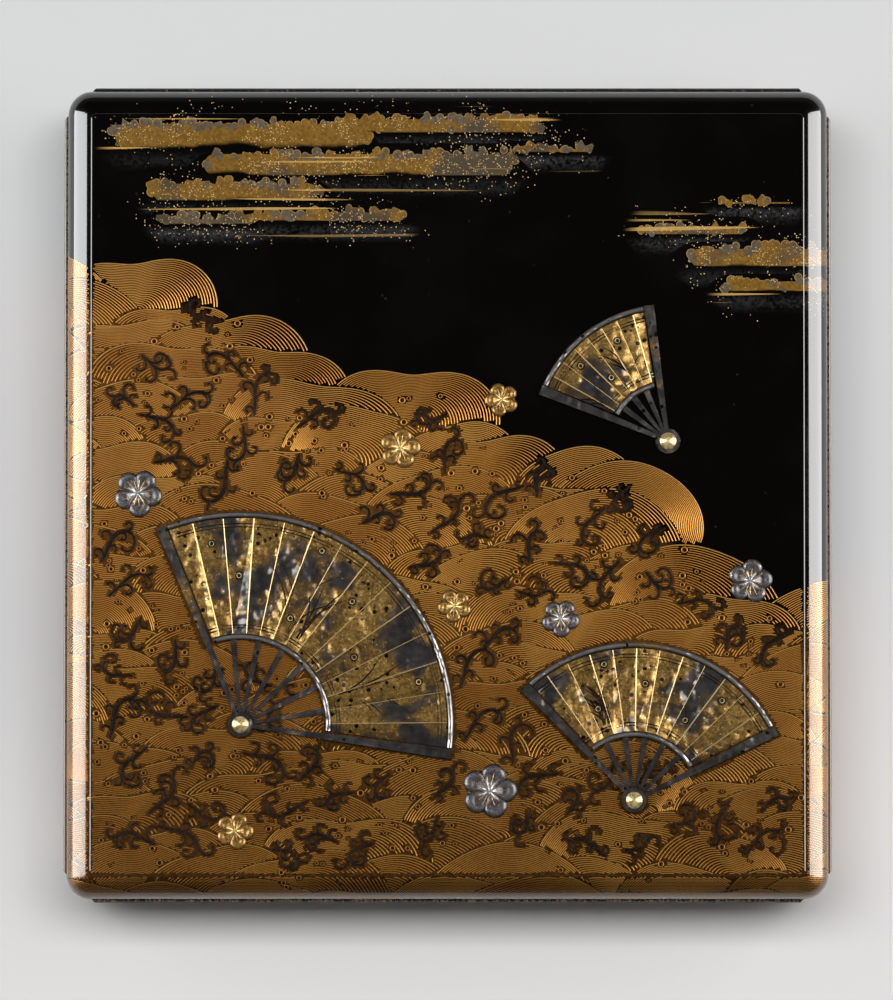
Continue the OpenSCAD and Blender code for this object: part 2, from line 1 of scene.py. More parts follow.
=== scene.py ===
import bpy
import numpy as np
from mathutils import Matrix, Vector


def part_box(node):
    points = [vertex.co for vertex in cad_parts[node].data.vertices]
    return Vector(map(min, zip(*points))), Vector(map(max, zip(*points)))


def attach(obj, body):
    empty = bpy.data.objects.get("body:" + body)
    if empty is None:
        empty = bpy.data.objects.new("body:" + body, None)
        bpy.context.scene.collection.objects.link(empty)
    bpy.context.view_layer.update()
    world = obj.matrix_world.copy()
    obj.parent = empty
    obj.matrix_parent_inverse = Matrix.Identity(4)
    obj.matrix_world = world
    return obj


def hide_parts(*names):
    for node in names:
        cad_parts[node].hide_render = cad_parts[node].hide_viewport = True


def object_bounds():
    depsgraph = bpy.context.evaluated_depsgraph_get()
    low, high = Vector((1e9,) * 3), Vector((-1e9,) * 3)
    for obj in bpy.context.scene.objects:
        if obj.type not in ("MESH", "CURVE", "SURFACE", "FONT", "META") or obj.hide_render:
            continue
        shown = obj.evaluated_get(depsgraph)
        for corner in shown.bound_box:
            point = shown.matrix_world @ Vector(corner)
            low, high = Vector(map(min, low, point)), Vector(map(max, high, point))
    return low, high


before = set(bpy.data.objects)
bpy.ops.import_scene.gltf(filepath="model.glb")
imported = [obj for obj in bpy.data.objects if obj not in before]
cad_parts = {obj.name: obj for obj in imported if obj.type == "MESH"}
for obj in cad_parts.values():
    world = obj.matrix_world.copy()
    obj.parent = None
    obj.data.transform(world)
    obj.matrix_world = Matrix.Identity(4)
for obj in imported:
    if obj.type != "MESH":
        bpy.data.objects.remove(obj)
cad_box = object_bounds()
MM = 0.001

scene = bpy.context.scene
scene.view_settings.view_transform = "Standard"


# ---- Camera ----
# A long lens looks down on the closed lid. It leans a little from the front, so that the lid's
# front edge comes out slightly wider than its back edge.
CAMERA_DISTANCE = 1.5
CAMERA_LEAN = np.radians(1.744)
CAMERA_AIM = np.array([-0.0003, -0.0018, 0.045])
FRAME_HEIGHT = 36.0
LENS = 179.2

camera_data = bpy.data.cameras.new("camera")
camera_data.sensor_fit = "VERTICAL"
camera_data.sensor_height = FRAME_HEIGHT
camera_data.lens = LENS
camera = bpy.data.objects.new("camera", camera_data)
camera.location = (CAMERA_AIM[0], -CAMERA_DISTANCE * np.sin(CAMERA_LEAN),
                   CAMERA_DISTANCE * np.cos(CAMERA_LEAN))
camera.rotation_euler = (np.arctan2(CAMERA_AIM[1] - camera.location[1],
                                    camera.location[2] - CAMERA_AIM[2]), 0, 0)
scene.collection.objects.link(camera)
scene.camera = camera


# ---- Floor and lamps ----
# A sheet of off-white paper lies under the box, with painted shade on it towards the back and beside the box.
# A tall lamp on its left and one on its right show as the bright bands on the lid's rounded edges. A third,
# above and behind, throws the short shadow in front.
PAPER_FRONT = (0.79, 0.78, 0.775, 1)
# Painted shade: the paper's colour at the back, and beside the box where the box would keep the lamps' light
# off it
PAPER_BACK_SHADED = (0.655, 0.658, 0.66, 1)
PAPER_SIDE_SHADE = (0.62, 0.632, 0.65, 1)
FLOOR_HALF = 3.0
# Each side has a lamp that only lights surfaces, and before it one that only shows in their gloss:
# distance from the middle, place along Y, length along Y, and watts on the left and on the right
SIDE_LAMP_HEIGHT = 1.75
SOFTBOX = (0.95, 0.4, 1.2, (6.0, 8.0))
GLARE_BOX = (0.85, 0.05, 0.6, (29.0, 29.0))
COOL, WARM = (0.96, 0.99, 1.0), (1.0, 0.98, 0.96)
TOP_LAMP_PLACE = (0.0, 0.44, 2.4)
TOP_LAMP_SIZE = (2.04, 0.7)
TOP_LAMP_TILT = np.radians(25)
TOP_LAMP_WATTS = 50.0


class Nodes:
    """A short way to write a node tree: each call adds one node and returns one of its outputs."""

    def __init__(self, tree):
        self.tree = tree

    def add(self, kind, out=0, settings=None, **inputs):
        node = self.tree.nodes.new(kind)
        for key, value in (settings or {}).items():
            setattr(node, key, value)
        for key, value in inputs.items():
            self.put(value, node.inputs[int(key[1:])] if key[1:].isdigit() else node.inputs[key])
        return node.outputs[out]

    def put(self, value, socket):
        if isinstance(value, bpy.types.NodeSocket):
            self.tree.links.new(value, socket)
        else:
            socket.default_value = value

    def math(self, operation, a, b=0.0, c=0.0):
        return self.add("ShaderNodeMath", settings={"operation": operation}, i0=a, i1=b, i2=c)

    def mix(self, share, a, b):
        """Colour a at a share of 0 and b at 1."""
        return self.add("ShaderNodeMix", 2, {"data_type": "RGBA"}, i0=share, i6=a, i7=b)

    def scaled(self, colour, share):
        """A colour or a place times one number."""
        return self.add("ShaderNodeVectorMath", settings={"operation": "SCALE"}, i0=colour, i3=share)

    def stretched(self, place, scales):
        """A place times one number per axis, for patterns that run along a piece."""
        return self.add("ShaderNodeVectorMath", settings={"operation": "MULTIPLY"}, i0=place, i1=scales)

    def between(self, value, low, high, start=0.0, end=1.0):
        """start below low, end above high, smooth between them."""
        return self.add("ShaderNodeMapRange", settings={"interpolation_type": "SMOOTHSTEP"},
                        i0=value, i1=low, i2=high, i3=start, i4=end)

    def noise(self, place, scale, detail=2.0, rough=0.5):
        return self.add("ShaderNodeTexNoise", i0=place, i2=scale, i3=detail, i4=rough)

    def cells(self, place, scale, out=0, flat=False):
        """Voronoi cells: outputs 0 distance from the cell's seed in cell sizes, 1 the cell's colour and
        2 the seed's place."""
        return self.add("ShaderNodeTexVoronoi", out, {"voronoi_dimensions": "2D" if flat else "3D"},
                        i0=place, i2=scale)

    def axes(self, place):
        node = self.add("ShaderNodeSeparateXYZ", i0=place).node
        return node.outputs[0], node.outputs[1], node.outputs[2]

    def group(self, tree, out, **inputs):
        """Uses a node group. Underscores stand for spaces in its inputs' names."""
        node = self.tree.nodes.new("ShaderNodeGroup")
        node.node_tree = tree
        for key, value in inputs.items():
            self.put(value, node.inputs[key.replace("_", " ")])
        return node.outputs[out]


def other(output, number):
    """Another output of the node that an output belongs to."""
    return output.node.outputs[number]


def new_material(name, **sockets):
    """A material with its writer, its Principled shader and the object's own coordinates.

    The shader's constant sockets are given by name, with underscores for spaces."""
    material = bpy.data.materials.new(name)
    material.use_nodes = True
    shader = material.node_tree.nodes["Principled BSDF"]
    for key, value in sockets.items():
        shader.inputs[key.replace("_", " ")].default_value = value
    writer = Nodes(material.node_tree)
    return material, writer, shader.inputs, writer.add("ShaderNodeTexCoord", 3)


def paper_material():
    """Matt paper with painted shade: greyer towards the back and beside the box, most of all on the left."""
    material, n, shader, place = new_material("paper", Roughness=0.9)
    x, y, _ = n.axes(place)
    # Painted shade: the paper greys towards the back, where the lamps light it less
    colour = n.mix(n.between(y, -0.16, 0.2), PAPER_FRONT, PAPER_BACK_SHADED)
    # Painted shade beside the box, strongest on the left
    side_shade = n.between(n.math("ABSOLUTE", n.math("ADD", y, 0.01)), 0.02, 0.13, 1.0, 0.0)
    side_shade = n.math("MULTIPLY", side_shade, n.between(x, -0.14, 0.14, 1.0, 0.5))
    n.put(n.mix(side_shade, colour, PAPER_SIDE_SHADE), shader["Base Color"])
    return material


floor_mesh = bpy.data.meshes.new("floor")
floor_mesh.from_pydata([(-FLOOR_HALF, -FLOOR_HALF, 0), (FLOOR_HALF, -FLOOR_HALF, 0),
                        (FLOOR_HALF, FLOOR_HALF, 0), (-FLOOR_HALF, FLOOR_HALF, 0)], [], [(0, 1, 2, 3)])
floor = bpy.data.objects.new("floor", floor_mesh)
scene.collection.objects.link(floor)
floor_mesh.materials.append(paper_material())

# The room is dark overhead and grows paler towards its walls, which the box's sides mirror
ROOM_OVERHEAD, ROOM_WALLS = 0.01, 0.078
world = bpy.data.worlds.new("room")
world.use_nodes = True
n = Nodes(world.node_tree)
up = n.axes(n.add("ShaderNodeTexCoord"))[2]
background = world.node_tree.nodes["Background"].inputs
n.put(n.between(up, 0.05, 0.62, ROOM_WALLS, ROOM_OVERHEAD), background["Strength"])
background["Color"].default_value = (0.95, 0.97, 1.0, 1)
scene.world = world


def lamp(name, place, turn, size, watts, colour, seen_in_gloss, lights_surfaces):
    """A rectangular lamp facing along its own -Z, of size (x, y) in metres."""
    data = bpy.data.lights.new(name, "AREA")
    data.shape = "RECTANGLE"
    data.size, data.size_y = size
    data.energy = watts
    data.color = colour
    lamp_object = bpy.data.objects.new(name, data)
    lamp_object.location = place
    lamp_object.rotation_euler = turn
    lamp_object.visible_glossy = seen_in_gloss
    lamp_object.visible_diffuse = lights_surfaces
    scene.collection.objects.link(lamp_object)


for side, side_name, colour in ((-1, "left", COOL), (1, "right", WARM)):
    for role, (out, along, length, watts) in (("softbox_", SOFTBOX), ("glare_", GLARE_BOX)):
        lamp(role + side_name, (side * out, along, SIDE_LAMP_HEIGHT / 2), (0, side * np.pi / 2, 0),
             (SIDE_LAMP_HEIGHT, length), watts[side > 0], colour, role == "glare_", role == "softbox_")
lamp("top_lamp", TOP_LAMP_PLACE, (-TOP_LAMP_TILT, 0, 0), TOP_LAMP_SIZE, TOP_LAMP_WATTS, (1, 1, 1),
     False, True)


# ---- Lacquered case ----
# Walls, floor and lid boards are wood under many coats of black lacquer, polished between coats. The ground
# under the gold-lined hills is brown with gold dust and fades out to black past the skyline. Bands of mist
# are sprinkled in gold and silver dust, and the inside is lacquered over coarse gold flakes.
FIELD_RISE = 1.0 * MM
EDGE_R = 7.2 * MM
PANEL_EASE = 0.4 * MM
PANEL_RISE = 0.6 * MM
BOX_HIGH = np.array(cad_box[1])
PANEL_X, PANEL_Y = BOX_HIGH[:2] - FIELD_RISE - EDGE_R
PANEL_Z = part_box("fan_rivets")[0][2]
TOP_Z = PANEL_Z - PANEL_RISE
JOINT_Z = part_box("base_wall_front")[1][2]
LEDGE_Z = TOP_Z - EDGE_R
LID_INSIDE = (106.95 * MM, 114.95 * MM, 42.6 * MM)
BLACK = (0.0016, 0.0013, 0.001, 1)
FLAKE_GROUND = (0.012, 0.005, 0.002, 1)
GOLD_DULL = (0.16, 0.078, 0.012, 1)
GOLD_BRIGHT = (0.42, 0.27, 0.09, 1)
GOLD_FLAKE = (0.85, 0.62, 0.26, 1)
SILVER_DUST = (0.14, 0.108, 0.068, 1)
POLISHED = {"Coat_Weight": 1.0, "Coat_Roughness": 0.05, "Coat_IOR": 1.55}
FLOAT, COLOUR, VECTOR = "NodeSocketFloat", "NodeSocketColor", "NodeSocketVector"

# The hills' skyline is level at the far left and falls to the right: height, slope, end of the level part,
# then swing, length and shift of two ripples
SKYLINE_Y = 30 * MM
SKYLINE_SLOPE = -0.5
SKYLINE_LEFT = -86 * MM
SKYLINE_RIPPLES = [(7 * MM, 23 * MM, 0.6), (4 * MM, 9.5 * MM, 2.0)]
GROUND_FADE = (8 * MM, 22 * MM)

# Mist bands with round ends: place of the middle, half the length, half the height
MIST_BANDS = [(-60, 104.5, 38, 4.6), (-26, 96.2, 46, 4.0), (-62, 88.2, 25, 3.3), (-34, 81, 22, 2.1),
              (-2, 107.6, 30, 2.8), (-70, 79.6, 14, 1.6), (93, 69, 23, 3.4), (99, 60.6, 18, 2.3),
              (72, 76.6, 15, 1.6), (30, 100.4, 13, 1.3), (90, 85, 11, 1.1)]


def new_group(name, inputs, outputs):
    """An empty shader node group with named sockets: its tree, its writer, its inputs and its outputs."""
    tree = bpy.data.node_groups.new(name, "ShaderNodeTree")
    for socket_name, kind, value in inputs:
        socket = tree.interface.new_socket(name=socket_name, in_out="INPUT", socket_type=kind)
        socket.default_value = value
    for socket_name, kind in outputs:
        tree.interface.new_socket(name=socket_name, in_out="OUTPUT", socket_type=kind)
    given = tree.nodes.new("NodeGroupInput").outputs
    result = tree.nodes.new("NodeGroupOutput").inputs
    return tree, Nodes(tree), given, result


# Gold dust: round flakes of one size, kept with a given chance, each with its own brightness
dust_group, n, given, result = new_group(
    "gold dust", [("Place", VECTOR, (0, 0, 0)), ("Flakes per metre", FLOAT, 1300.0), ("Density", FLOAT, 0.5)],
    [("Mask", FLOAT), ("Colour", COLOUR)])
seed_colour = n.cells(given[0], given[1], 1)
chance = n.add("ShaderNodeSeparateColor", i0=seed_colour)
kept = n.math("LESS_THAN", chance, given[2])
near = n.between(other(seed_colour, 0), 0.3, 0.42, 1.0, 0.0)
n.put(n.math("MULTIPLY", kept, near), result[0])
n.put(n.mix(n.math("POWER", other(chance, 1), 2.0), GOLD_BRIGHT, GOLD_FLAKE), result[1])

# Wear and painted shade: broad clouds where hands and cloths have rubbed, and a painted shade that darkens
# the gold towards the front and most of all on the front rounded edge
wear_and_shade_group, n, given, result = new_group(
    "handling wear and front shade", [("Place", VECTOR, (0, 0, 0)), ("Clouds per metre", FLOAT, 40.0)],
    [("Clouds", FLOAT), ("Front shade", FLOAT)])
n.put(n.between(n.noise(given[0], given[1], 4.0, 0.6), 0.35, 0.68), result[0])
_, y, z = n.axes(given[0])
# Painted shade on the front rounded edge, darker than the rest of the front
front_edge_shade = n.math("MULTIPLY", n.between(y, -PANEL_Y - 1.1 * MM, -PANEL_Y + 0.1 * MM, -0.55, 0.0),
                     n.between(z, LEDGE_Z - 6 * MM, LEDGE_Z))
# Painted shade: 0.58 at the front, growing to 1 towards the back
front_shade_factor = n.between(y, -125 * MM, 15 * MM, 0.58, 1.0)
n.put(n.math("MULTIPLY_ADD", front_shade_factor, front_edge_shade, front_shade_factor), result[1])

# Distance in metres from the nearest mist band's outline, negative inside, and the height in that band:
# -1 at its lower edge and 1 at its upper one
band_group, n, given, result = new_group(
    "mist bands", [("Place", VECTOR, (0, 0, 0))], [("Distance", FLOAT), ("Rise", FLOAT)])
x, y, _ = n.axes(given[0])
nearest, rise = 1.0, 0.0
for middle_x, middle_y, half_length, half_height in MIST_BANDS:
    along = n.math("ABSOLUTE", n.math("SUBTRACT", x, middle_x * MM))
    along = n.math("MAXIMUM", n.math("SUBTRACT", along, (half_length - half_height) * MM), 0.0)
    up = n.math("SUBTRACT", y, middle_y * MM)
    reach = n.math("SQRT", n.math("ADD", n.math("MULTIPLY", along, along), n.math("MULTIPLY", up, up)))
    reach = n.math("SUBTRACT", reach, half_height * MM)
    closer = n.math("LESS_THAN", reach, nearest)
    rise = n.add("ShaderNodeMix", i0=closer, i2=rise, i3=n.math("DIVIDE", up, half_height * MM))
    nearest = n.math("MINIMUM", nearest, reach)
n.put(nearest, result[0])
n.put(rise, result[1])

# Share of the brown ground: 0 above the skyline, 1 a fade's length below it
skyline_group, n, given, result = new_group("skyline", [("Place", VECTOR, (0, 0, 0))], [("Share", FLOAT)])
x, y, _ = n.axes(given[0])
x = n.math("MAXIMUM", x, SKYLINE_LEFT)
height = n.math("MULTIPLY_ADD", x, SKYLINE_SLOPE, SKYLINE_Y)
for swing, length, shift in SKYLINE_RIPPLES:
    ripple = n.math("SINE", n.math("MULTIPLY_ADD", x, 1 / length, shift))
    height = n.math("MULTIPLY_ADD", ripple, swing, height)
n.put(n.between(n.math("SUBTRACT", height, y), *GROUND_FADE), result[0])


def dust(n, place, flakes_per_metre, density):
    """The mask and the colours of gold dust."""
    mask = n.group(dust_group, 0, Place=place, Flakes_per_metre=flakes_per_metre, Density=density)
    return mask, other(mask, 1)


def wear_and_shade(n, place, clouds_per_metre):
    """The clouds that handling has rubbed, and the painted shade that darkens the gold towards the front."""
    clouds = n.group(wear_and_shade_group, 0, Place=place, Clouds_per_metre=clouds_per_metre)
    return clouds, other(clouds, 1)


def mist(n, place):
    """The distance from the nearest mist band's outline, and the height in that band."""
    distance = n.group(band_group, 0, Place=place)
    return distance, other(distance, 1)


def within(n, value, middle, reach):
    """1 where a value lies nearer to the middle than the reach, and 0 elsewhere."""
    return n.math("LESS_THAN", n.math("ABSOLUTE", n.math("SUBTRACT", value, middle)), reach)


def bump(n, sockets, height, depth):
    """Tilts the shading by a height pattern, given in metres of depth for a height of 1."""
    n.put(n.add("ShaderNodeBump", Strength=1.0, Distance=depth, Height=height), sockets["Normal"])


def case_material():
    """Black lacquer outside with its brown ground and mist, gold flakes inside, gold rims at the joint."""
    material, n, shader, place = new_material("case_lacquer", Specular_IOR_Level=0.2, Coat_Weight=1.0,
                                              Coat_Roughness=0.03, Coat_IOR=1.6)
    x, y, z = n.axes(place)
    clouds, front_shade_factor = wear_and_shade(n, place, 30.0)
    motes, _ = dust(n, place, 1100.0, 0.003)
    colour = n.mix(clouds, BLACK, (0.0021, 0.0016, 0.0011, 1))
    colour = n.mix(motes, colour, (0.02, 0.017, 0.013, 1))

    # Brown ground under the hills, with fine dust in it
    grain = n.noise(place, 1100.0, 3.0)
    brown = n.mix(n.between(grain, 0.35, 0.7), (0.05, 0.018, 0.002, 1), (0.12, 0.05, 0.008, 1))
    brown = n.mix(n.math("MULTIPLY", clouds, 0.4), brown, (0.12, 0.052, 0.009, 1))
    # The brown ground takes the painted shade towards the front
    colour = n.mix(n.group(skyline_group, 0, Place=place), colour, n.scaled(brown, front_shade_factor))

    # Mist: gold bands that dissolve into dust below, with scalloped upper edges in gold and silver
    outline, rise = mist(n, place)
    drift = n.noise(place, 45.0, 3.0, 0.6)
    fade = n.between(n.math("MULTIPLY_ADD", drift, 1.6, rise), -0.45, 0.75)
    on_top = n.between(z, LEDGE_Z, LEDGE_Z + 2 * MM)
    around = n.between(outline, 0.0, 6 * MM, 1.0, 0.0)
    below = n.math("MULTIPLY", around, n.between(rise, -2.4, -0.8, 1.0, 0.0))
    below = n.math("MULTIPLY", below, n.between(n.math("MULTIPLY_ADD", drift, 0.6, grain), 0.6, 0.95))
    colour = n.mix(n.math("MULTIPLY", below, on_top), colour, (0.042, 0.042, 0.046, 1))
    gold = n.mix(n.between(grain, 0.35, 0.65), GOLD_DULL, (0.235, 0.125, 0.02, 1))
    gold = n.mix(n.between(drift, 0.52, 0.64), gold, (0.075, 0.056, 0.036, 1))
    solid = n.math("MULTIPLY", n.between(outline, -1.0 * MM, -0.8 * MM, 1.0, 0.0), n.between(fade, 0.3, 0.7))
    colour = n.mix(n.math("MULTIPLY", solid, on_top), colour, gold)
    from_seed = n.cells(place, 430.0, 0, True)
    cell_colour = n.add("ShaderNodeSeparateColor", i0=other(from_seed, 1))
    seed_outline, seed_rise = mist(n, other(from_seed, 2))
    hugs = n.math("MULTIPLY", within(n, seed_outline, -0.85 * MM, 1.25 * MM),
                  n.math("GREATER_THAN", seed_rise, -0.35))
    hugs = n.math("MULTIPLY", hugs, on_top)
    in_lobe = n.math("SUBTRACT", n.between(cell_colour, 0.0, 1.0, 0.46, 0.66), from_seed)
    silver = n.mix(n.between(grain, 0.3, 0.7), (0.085, 0.064, 0.042, 1), SILVER_DUST)
    patch = n.mix(n.between(n.noise(place, 70.0, 1.0), 0.44, 0.48), silver, gold)
    colour = n.mix(n.math("MULTIPLY", n.between(in_lobe, -0.02, 0.02), hugs), colour, patch)
    rim = n.math("MULTIPLY", n.between(n.math("ABSOLUTE", in_lobe), 0.02, 0.06, 1.0, 0.0), hugs)
    rim = n.math("MULTIPLY", rim, n.between(outline, -1.3 * MM, -0.5 * MM))
    colour = n.mix(n.math("MULTIPLY", rim, 0.8), colour, GOLD_BRIGHT)

    # Long thin streaks and loose dust round the bands
    streak = n.between(n.noise(n.stretched(place, (11.0, 560.0, 0.0)), 1.0, 1.0), 0.665, 0.69)
    streak = n.math("MULTIPLY", streak, around)
    colour = n.mix(n.math("MULTIPLY", streak, on_top), colour, (0.5, 0.3, 0.08, 1))
    loose = n.math("MULTIPLY", n.between(outline, -1 * MM, 9 * MM, 0.24, 0.0), n.between(drift, 0.42, 0.64))
    held = n.math("MULTIPLY", n.between(outline, -0.4 * MM, 0.0, 0.5, 0.0), fade)
    held = n.math("MULTIPLY", held, n.between(n.noise(place, 110.0, 2.0), 0.42, 0.6))
    flakes, flake_colour = dust(n, place, 2000.0, n.math("MAXIMUM", loose, held))
    colour = n.mix(n.math("MULTIPLY", flakes, on_top), colour, flake_colour)

    # The flat ledges are rubbed, dark at the back and front and tan at the sides. At the sides they end in a
    # painted
    # highlight: a pale line where the outer edge would catch the side lamps
    ledge = n.math("MULTIPLY", n.between(z, LEDGE_Z - 0.3 * MM, LEDGE_Z - 0.1 * MM),
                   n.between(z, LEDGE_Z + 0.02 * MM, LEDGE_Z + 0.05 * MM, 1.0, 0.0))
    sideways = n.math("GREATER_THAN", n.math("ABSOLUTE", x), BOX_HIGH[0] - FIELD_RISE)
    rubbed = n.math("MULTIPLY_ADD", sideways, 0.16, n.between(y, 0.0, -0.1, 0.0, 0.1))
    rubbed = n.between(n.math("ADD", n.noise(place, 1300.0, 4.0, 0.7), rubbed), 0.56, 0.7)
    worn = n.mix(rubbed, (0.013, 0.011, 0.01, 1), (0.17, 0.115, 0.07, 1))
    # Painted highlight: a pale line along the outer edge of the side ledges
    outer_edge_highlight = n.math("GREATER_THAN", n.math("ABSOLUTE", x), BOX_HIGH[0] - 0.4 * MM)
    worn = n.mix(n.math("MULTIPLY", outer_edge_highlight, 0.85), worn, (0.62, 0.54, 0.49, 1))
    colour = n.mix(ledge, colour, worn)

    # Small chips along the top field's rim
    from_rim = n.math("ABSOLUTE", n.math("SUBTRACT", n.math("ABSOLUTE", x), PANEL_X))
    chips = n.math("MULTIPLY", n.between(from_rim, 0.35 * MM, 0.6 * MM, 1.0, 0.0),
                   n.between(n.noise(place, 330.0, 3.0, 0.6), 0.68, 0.72))
    colour = n.mix(n.math("MULTIPLY", chips, on_top), colour, (0.09, 0.065, 0.045, 1))

    # Inside the lid, and on the faces where lid and base meet
    inside = n.math("MULTIPLY", within(n, x, 0.0, LID_INSIDE[0]), within(n, y, 0.0, LID_INSIDE[1]))
    inside = n.math("MULTIPLY", inside, n.math("LESS_THAN", z, LID_INSIDE[2]))
    flakes, flake_colour = dust(n, place, 1500.0, 0.42)
    colour = n.mix(inside, colour, n.mix(flakes, FLAKE_GROUND, flake_colour))
    joint_gold = n.mix(n.between(grain, 0.4, 0.6), (0.2, 0.11, 0.028, 1), GOLD_BRIGHT)
    colour = n.mix(within(n, z, JOINT_Z, 0.03 * MM), colour, joint_gold)
    n.put(colour, shader["Base Color"])
    n.put(n.math("MULTIPLY_ADD", chips, 0.3, n.between(clouds, 0.0, 1.0, 0.12, 0.2)), shader["Roughness"])
    return material


def lining_material():
    """Lacquer over gold flakes, with a gold line on each board's top edge, and plain black underneath."""
    material, n, shader, place = new_material("lining_lacquer", **POLISHED)
    z = n.axes(place)[2]
    clouds, _ = wear_and_shade(n, place, 40.0)
    flakes, flake_colour = dust(n, place, 1500.0, n.between(clouds, 0.0, 1.0, 0.34, 0.5))
    deep, _ = dust(n, place, 2300.0, 0.5)
    ground = n.mix(deep, FLAKE_GROUND, (0.075, 0.035, 0.009, 1))
    colour = n.mix(flakes, ground, flake_colour)
    for node_name in ("left_tray", "lip_front"):
        colour = n.mix(within(n, z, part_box(node_name)[1][2], 0.03 * MM), colour, GOLD_BRIGHT)
    colour = n.mix(n.math("LESS_THAN", z, 2 * MM), colour, BLACK)
    n.put(colour, shader["Base Color"])
    n.put(n.between(clouds, 0.0, 1.0, 0.12, 0.24), shader["Roughness"])
    return material


def dress(node_name, material):
    """Gives a CAD node its material in every slot."""
    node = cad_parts[node_name]
    if not node.material_slots:
        node.data.materials.append(material)
    for material_slot in node.material_slots:
        material_slot.material = material


case_lacquer, lining_lacquer = case_material(), lining_material()
for side in ("front", "back", "left", "right"):
    dress("base_wall_" + side, case_lacquer)
    dress("lid_wall_" + side, case_lacquer)
    dress("lip_" + side, lining_lacquer)
dress("lid_top", case_lacquer)
for node_name in ("base_floor", "centre_board", "left_tray", "right_tray"):
    dress(node_name, lining_lacquer)


# ---- Scrolls and drops ----
# Dark lacquer scrolls with curled ends lie over the hills, each on a slightly wider gold stroke that shows
# as its outline. Round drops with gold rings are scattered round them.
LINE_RISE = 0.035 * MM
SCROLL_COUNT = 112
SCROLL_TRIES = 4000
SCROLL_SPACING = 11.2 * MM
STEM_POINTS, CURL_POINTS = 28, 26
OUTLINE = 0.16 * MM
COVER_CELL = 0.25 * MM
COVER_SIDE = 1000
COVER_REACH = 4
ROUND_SIDES = 12
rng = np.random.default_rng(7)

# The fans that lie over the hills: each one's rivet, turn, opening, folds and radius, as in the solids
FANS = {
    "large": ((44 * MM - PANEL_X, 44 * MM - PANEL_Y), 52, 120, 14, 62 * MM),
    "middle": ((PANEL_X - 50 * MM, 22 * MM - PANEL_Y), 80, 108, 12, 46 * MM),
    "small": ((PANEL_X - 40 * MM, PANEL_Y - 96 * MM), 128, 60, 8, 40 * MM),
}
STICK_SHARE = 0.4


def clear_of_fans(x, y, margin):
    """True where no fan's leaf, stick or head lies within the margin."""
    clear = np.full(np.shape(x), True)
    for rivet, turn, opening, _, radius in FANS.values():
        dx, dy = x - rivet[0], y - rivet[1]
        distance = np.hypot(dx, dy)
        off = np.abs((np.degrees(np.arctan2(dy, dx)) - turn + 180) % 360 - 180)
        spare = np.degrees((margin + 1.5 * MM) / np.maximum(distance, 1 * MM))
        clear &= ~((off < opening / 2 + spare) & (distance < radius + margin)
                   & (distance > radius * STICK_SHARE - margin)) & (distance > 3.6 * MM + margin)
    return clear


def skyline(x):
    """Height of the skyline over x: a falling straight line plus two sines, held level at the far left."""
    x = np.maximum(x, SKYLINE_LEFT)
    return SKYLINE_Y + SKYLINE_SLOPE * x + sum(a * np.sin(x / b + c) for a, b, c in SKYLINE_RIPPLES)


def lid_skin(x, y):
    """Carries a flat drawing onto the lid's top and its rounded edge: places and normals.

    Inside the top field a point keeps its x and y. Past the field's edge, the distance to the nearest
    point of the field is measured along the quarter circle of the rounded edge."""
    held = np.stack([np.clip(x, -PANEL_X, PANEL_X), np.clip(y, -PANEL_Y, PANEL_Y)], axis=-1)
    away = np.stack([x, y], axis=-1) - held
    over = np.linalg.norm(away, axis=-1)
    out = away / np.maximum(over, 1e-9)[:, None]
    angle = np.clip(over / EDGE_R, 0, np.pi / 2)
    z = np.where(over > 0, TOP_Z - EDGE_R * (1 - np.cos(angle)), PANEL_Z)
    places = np.column_stack([held + out * (EDGE_R * np.sin(angle))[:, None], z])
    return places, np.column_stack([out * np.sin(angle)[:, None], np.cos(angle)])


def on_lid(x, y, most=0.96):
    """True where a line may lie: neither across the top field's eased rim nor past the rounded edge."""
    inside = np.minimum(PANEL_X - np.abs(x), PANEL_Y - np.abs(y))
    over = np.hypot(np.maximum(np.abs(x) - PANEL_X, 0), np.maximum(np.abs(y) - PANEL_Y, 0))
    return (inside > PANEL_EASE + 0.15 * MM) | ((over > 0.4 * MM) & (over < most * EDGE_R * np.pi / 2))


def piece(name, vertices, quads, triangles, body, material, slot, smooth=False, **attributes):
    """A mesh object from whole arrays, dressed and riding on its body. Its slot is not used."""
    mesh = bpy.data.meshes.new(name)
    mesh.vertices.add(len(vertices))
    mesh.vertices.foreach_set("co", np.asarray(vertices, dtype=np.float32).ravel())
    corners = np.concatenate([np.ravel(quads), np.ravel(triangles)]).astype(np.int32)
    sizes = np.concatenate([np.full(len(quads), 4), np.full(len(triangles), 3)]).astype(np.int32)
    mesh.loops.add(len(corners))
    mesh.loops.foreach_set("vertex_index", corners)
    mesh.polygons.add(len(sizes))
    mesh.polygons.foreach_set("loop_start", np.concatenate([[0], np.cumsum(sizes)[:-1]]).astype(np.int32))
    mesh.polygons.foreach_set("use_smooth", np.full(len(sizes), smooth))
    mesh.update(calc_edges=True)
    for key, values in attributes.items():
        kind, field = ("FLOAT", "value") if values.shape[1] == 1 else ("FLOAT_VECTOR", "vector")
        mesh.attributes.new(key, kind, "POINT").data.foreach_set(field, values.astype(np.float32).ravel())
    made = bpy.data.objects.new(name, mesh)
    scene.collection.objects.link(made)
    mesh.materials.append(material)
    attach(made, body)
    return made


